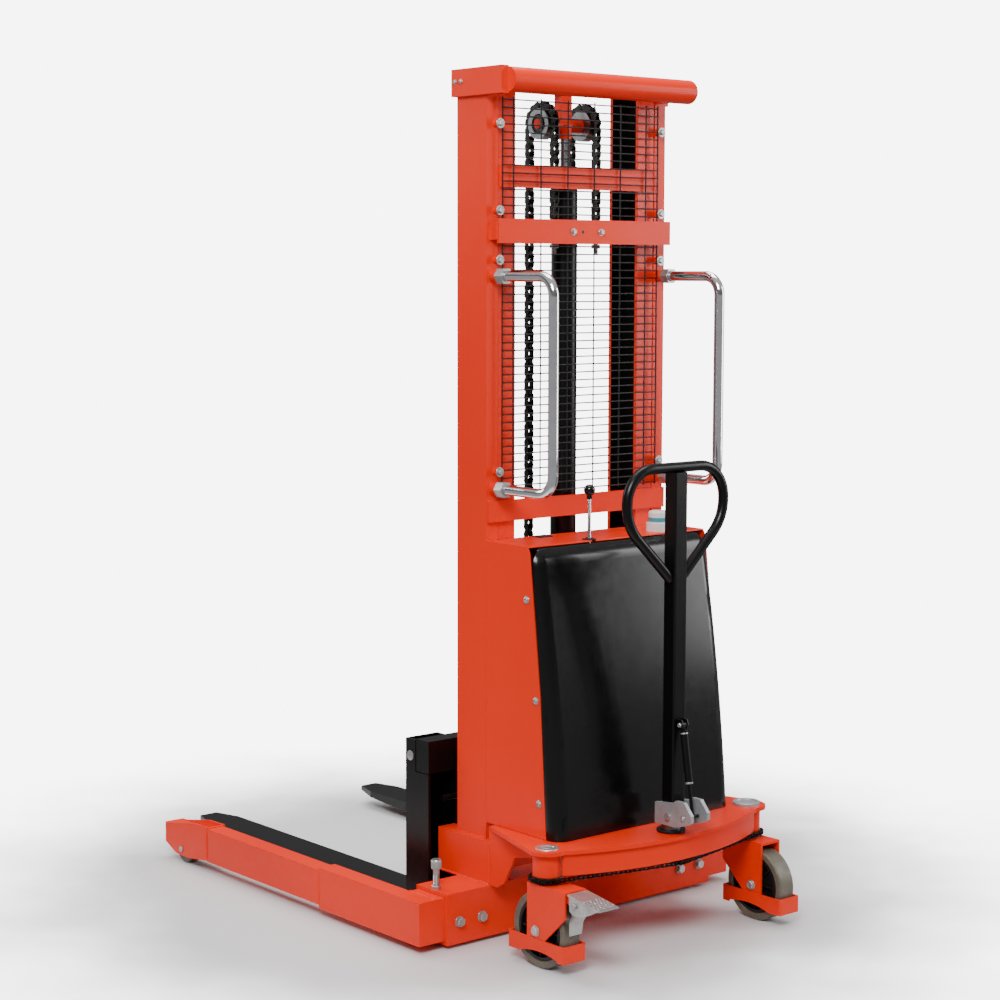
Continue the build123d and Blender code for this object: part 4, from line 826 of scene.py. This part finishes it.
# gas spring ends
foot = Vector((0, DY - 0.832, 0.328))
top = Vector((0, DY - 0.797, 0.543))
d = (top - foot).normalized()
bm = bmesh.new()
lathe(bm, [(0.0052, 0.0), (0.0095, 0.0008), (0.0096, 0.004), (0.0090, 0.005)], foot + d * 0.0775, d, 32)
lathe(bm, [(0.0096, 0.0), (0.0097, 0.002), (0.0092, 0.003)], foot + d * 0.196, d, 32)
finish_mesh("spring_collars", bm, "gas_spring_barrel", ZINC, 30)
bm = bmesh.new()
for s in (-1, 1):
    hex_head(bm, (s * 0.0103, top.y, top.z), (s, 0, 0), 0.010, 0.004, 0.2)
finish_mesh("spring_eye_bolt", bm, "tiller_arm", ZINC, 30)
bm = bmesh.new()
for s in (-1, 1):
    washer(bm, (s * 0.0322, foot.y, foot.z), (s, 0, 0), 0.001, 0.0075, 0.0012)
    button_head(bm, (s * 0.0334, foot.y, foot.z), (s, 0, 0), 0.0058, 0.0036)
    button_head(bm, (s * 0.0324, DY - 0.782, 0.324), (s, 0, 0), 0.0082, 0.0046)
finish_mesh("bracket_pin_heads", bm, "tiller_head", ZINC, 30)

# ------------------------------------------------------------------ floor, light, camera
floor_mat = Mat("pale_floor", rough=0.5)
floor_mat.colour(floor_mat.mix(floor_mat.noise(1.5, 4.0), rgb(222, 222, 223), rgb(208, 209, 210)))
floor_mat.rough(floor_mat.noise(6, 4.0), 0.42, 0.58)
away = floor_mat.n.new("ShaderNodeVectorMath")
away.operation = "LENGTH"
floor_mat.link(floor_mat.co, away.inputs[0])
edge = floor_mat.math("ADD", away.outputs["Value"],
                      floor_mat.math("MULTIPLY", floor_mat.noise(2.0, 3.0), 0.5))
fade = floor_mat.n.new("ShaderNodeMapRange")
fade.interpolation_type = "SMOOTHSTEP"
fade.inputs["From Min"].default_value = 1.05
fade.inputs["From Max"].default_value = 2.1
fade.inputs["To Min"].default_value = 1.0
fade.inputs["To Max"].default_value = 0.0
floor_mat.link(edge, fade.inputs["Value"])
floor_mat.link(fade.outputs["Result"], floor_mat.b.inputs["Alpha"])
mesh = bpy.data.meshes.new("floor")
w = 30.0
mesh.from_pydata([(-w, -w, 0), (w, -w, 0), (w, w, 0), (-w, w, 0)], [], [(0, 1, 2, 3)])
floor = bpy.data.objects.new("floor", mesh)
mesh.materials.append(floor_mat.m)
bpy.context.scene.collection.objects.link(floor)

world = bpy.data.worlds.new("studio")
bpy.context.scene.world = world
world.use_nodes = True
tree = world.node_tree
background = tree.nodes["Background"]
background.inputs["Strength"].default_value = 1.0
BACKDROP = 7.0  # what the camera sees directly; the sky below lights the object
direction = tree.nodes.new("ShaderNodeTexCoord")
split = tree.nodes.new("ShaderNodeSeparateXYZ")
tree.links.new(direction.outputs["Generated"], split.inputs[0])
sky = tree.nodes.new("ShaderNodeValToRGB")
sky.color_ramp.elements[0].position = 0.0
sky.color_ramp.elements[0].color = (0.34, 0.34, 0.35, 1.0)
sky.color_ramp.elements[1].position = 0.9
sky.color_ramp.elements[1].color = (0.52, 0.52, 0.53, 1.0)
for at, value in ((0.12, 0.13), (0.40, 0.17), (0.46, 0.42)):
    stop = sky.color_ramp.elements.new(at)
    stop.color = (value, value, value * 1.01, 1.0)
tree.links.new(split.outputs["Z"], sky.inputs[0])
path = tree.nodes.new("ShaderNodeLightPath")
choose = tree.nodes.new("ShaderNodeMix")
choose.data_type = "RGBA"
tree.links.new(path.outputs["Is Camera Ray"], choose.inputs["Factor"])
tree.links.new(sky.outputs["Color"], [s for s in choose.inputs if s.name == "A" and s.type == "RGBA"][0])
[s for s in choose.inputs if s.name == "B" and s.type == "RGBA"][0].default_value = (BACKDROP,) * 3 + (1.0,)
tree.links.new([s for s in choose.outputs if s.type == "RGBA"][0], background.inputs["Color"])


def area(name, position, target, size, power):
    light = bpy.data.lights.new(name, "AREA")
    light.shape = "RECTANGLE"
    light.size, light.size_y = size
    light.energy = power
    obj = bpy.data.objects.new(name, light)
    obj.location = position
    obj.rotation_euler = (Vector(target) - Vector(position)).to_track_quat("-Z", "Y").to_euler()
    bpy.context.scene.collection.objects.link(obj)


area("key", (-3.6, -3.4, 4.4), (0, -0.3, 0.9), (2.0, 2.0), 320)
area("fill", (3.8, -3.2, 2.2), (0, -0.4, 0.9), (1.6, 3.0), 120)
area("top", (0.3, 0.4, 5.0), (0, -0.2, 0.5), (3.0, 3.0), 200)
area("back", (-1.5, 4.5, 3.0), (0, 0, 1.0), (2.5, 2.0), 120)

camera = bpy.data.cameras.new("camera")
camera.lens = 78.66
camera.sensor_width = 36.0
cam = bpy.data.objects.new("camera", camera)
yaw, pitch, roll = math.radians(39.85), math.radians(6.02), math.radians(0.10)
forward = Vector((math.sin(yaw) * math.cos(pitch), math.cos(yaw) * math.cos(pitch), -math.sin(pitch)))
cam.rotation_mode = "QUATERNION"
quat = forward.to_track_quat("-Z", "Y")
cam.rotation_quaternion = quat @ Matrix.Rotation(roll, 3, "Z").to_quaternion()
cam.location = (-3.57905, DY - 4.410, 1.6093)
bpy.context.scene.collection.objects.link(cam)
bpy.context.scene.camera = cam
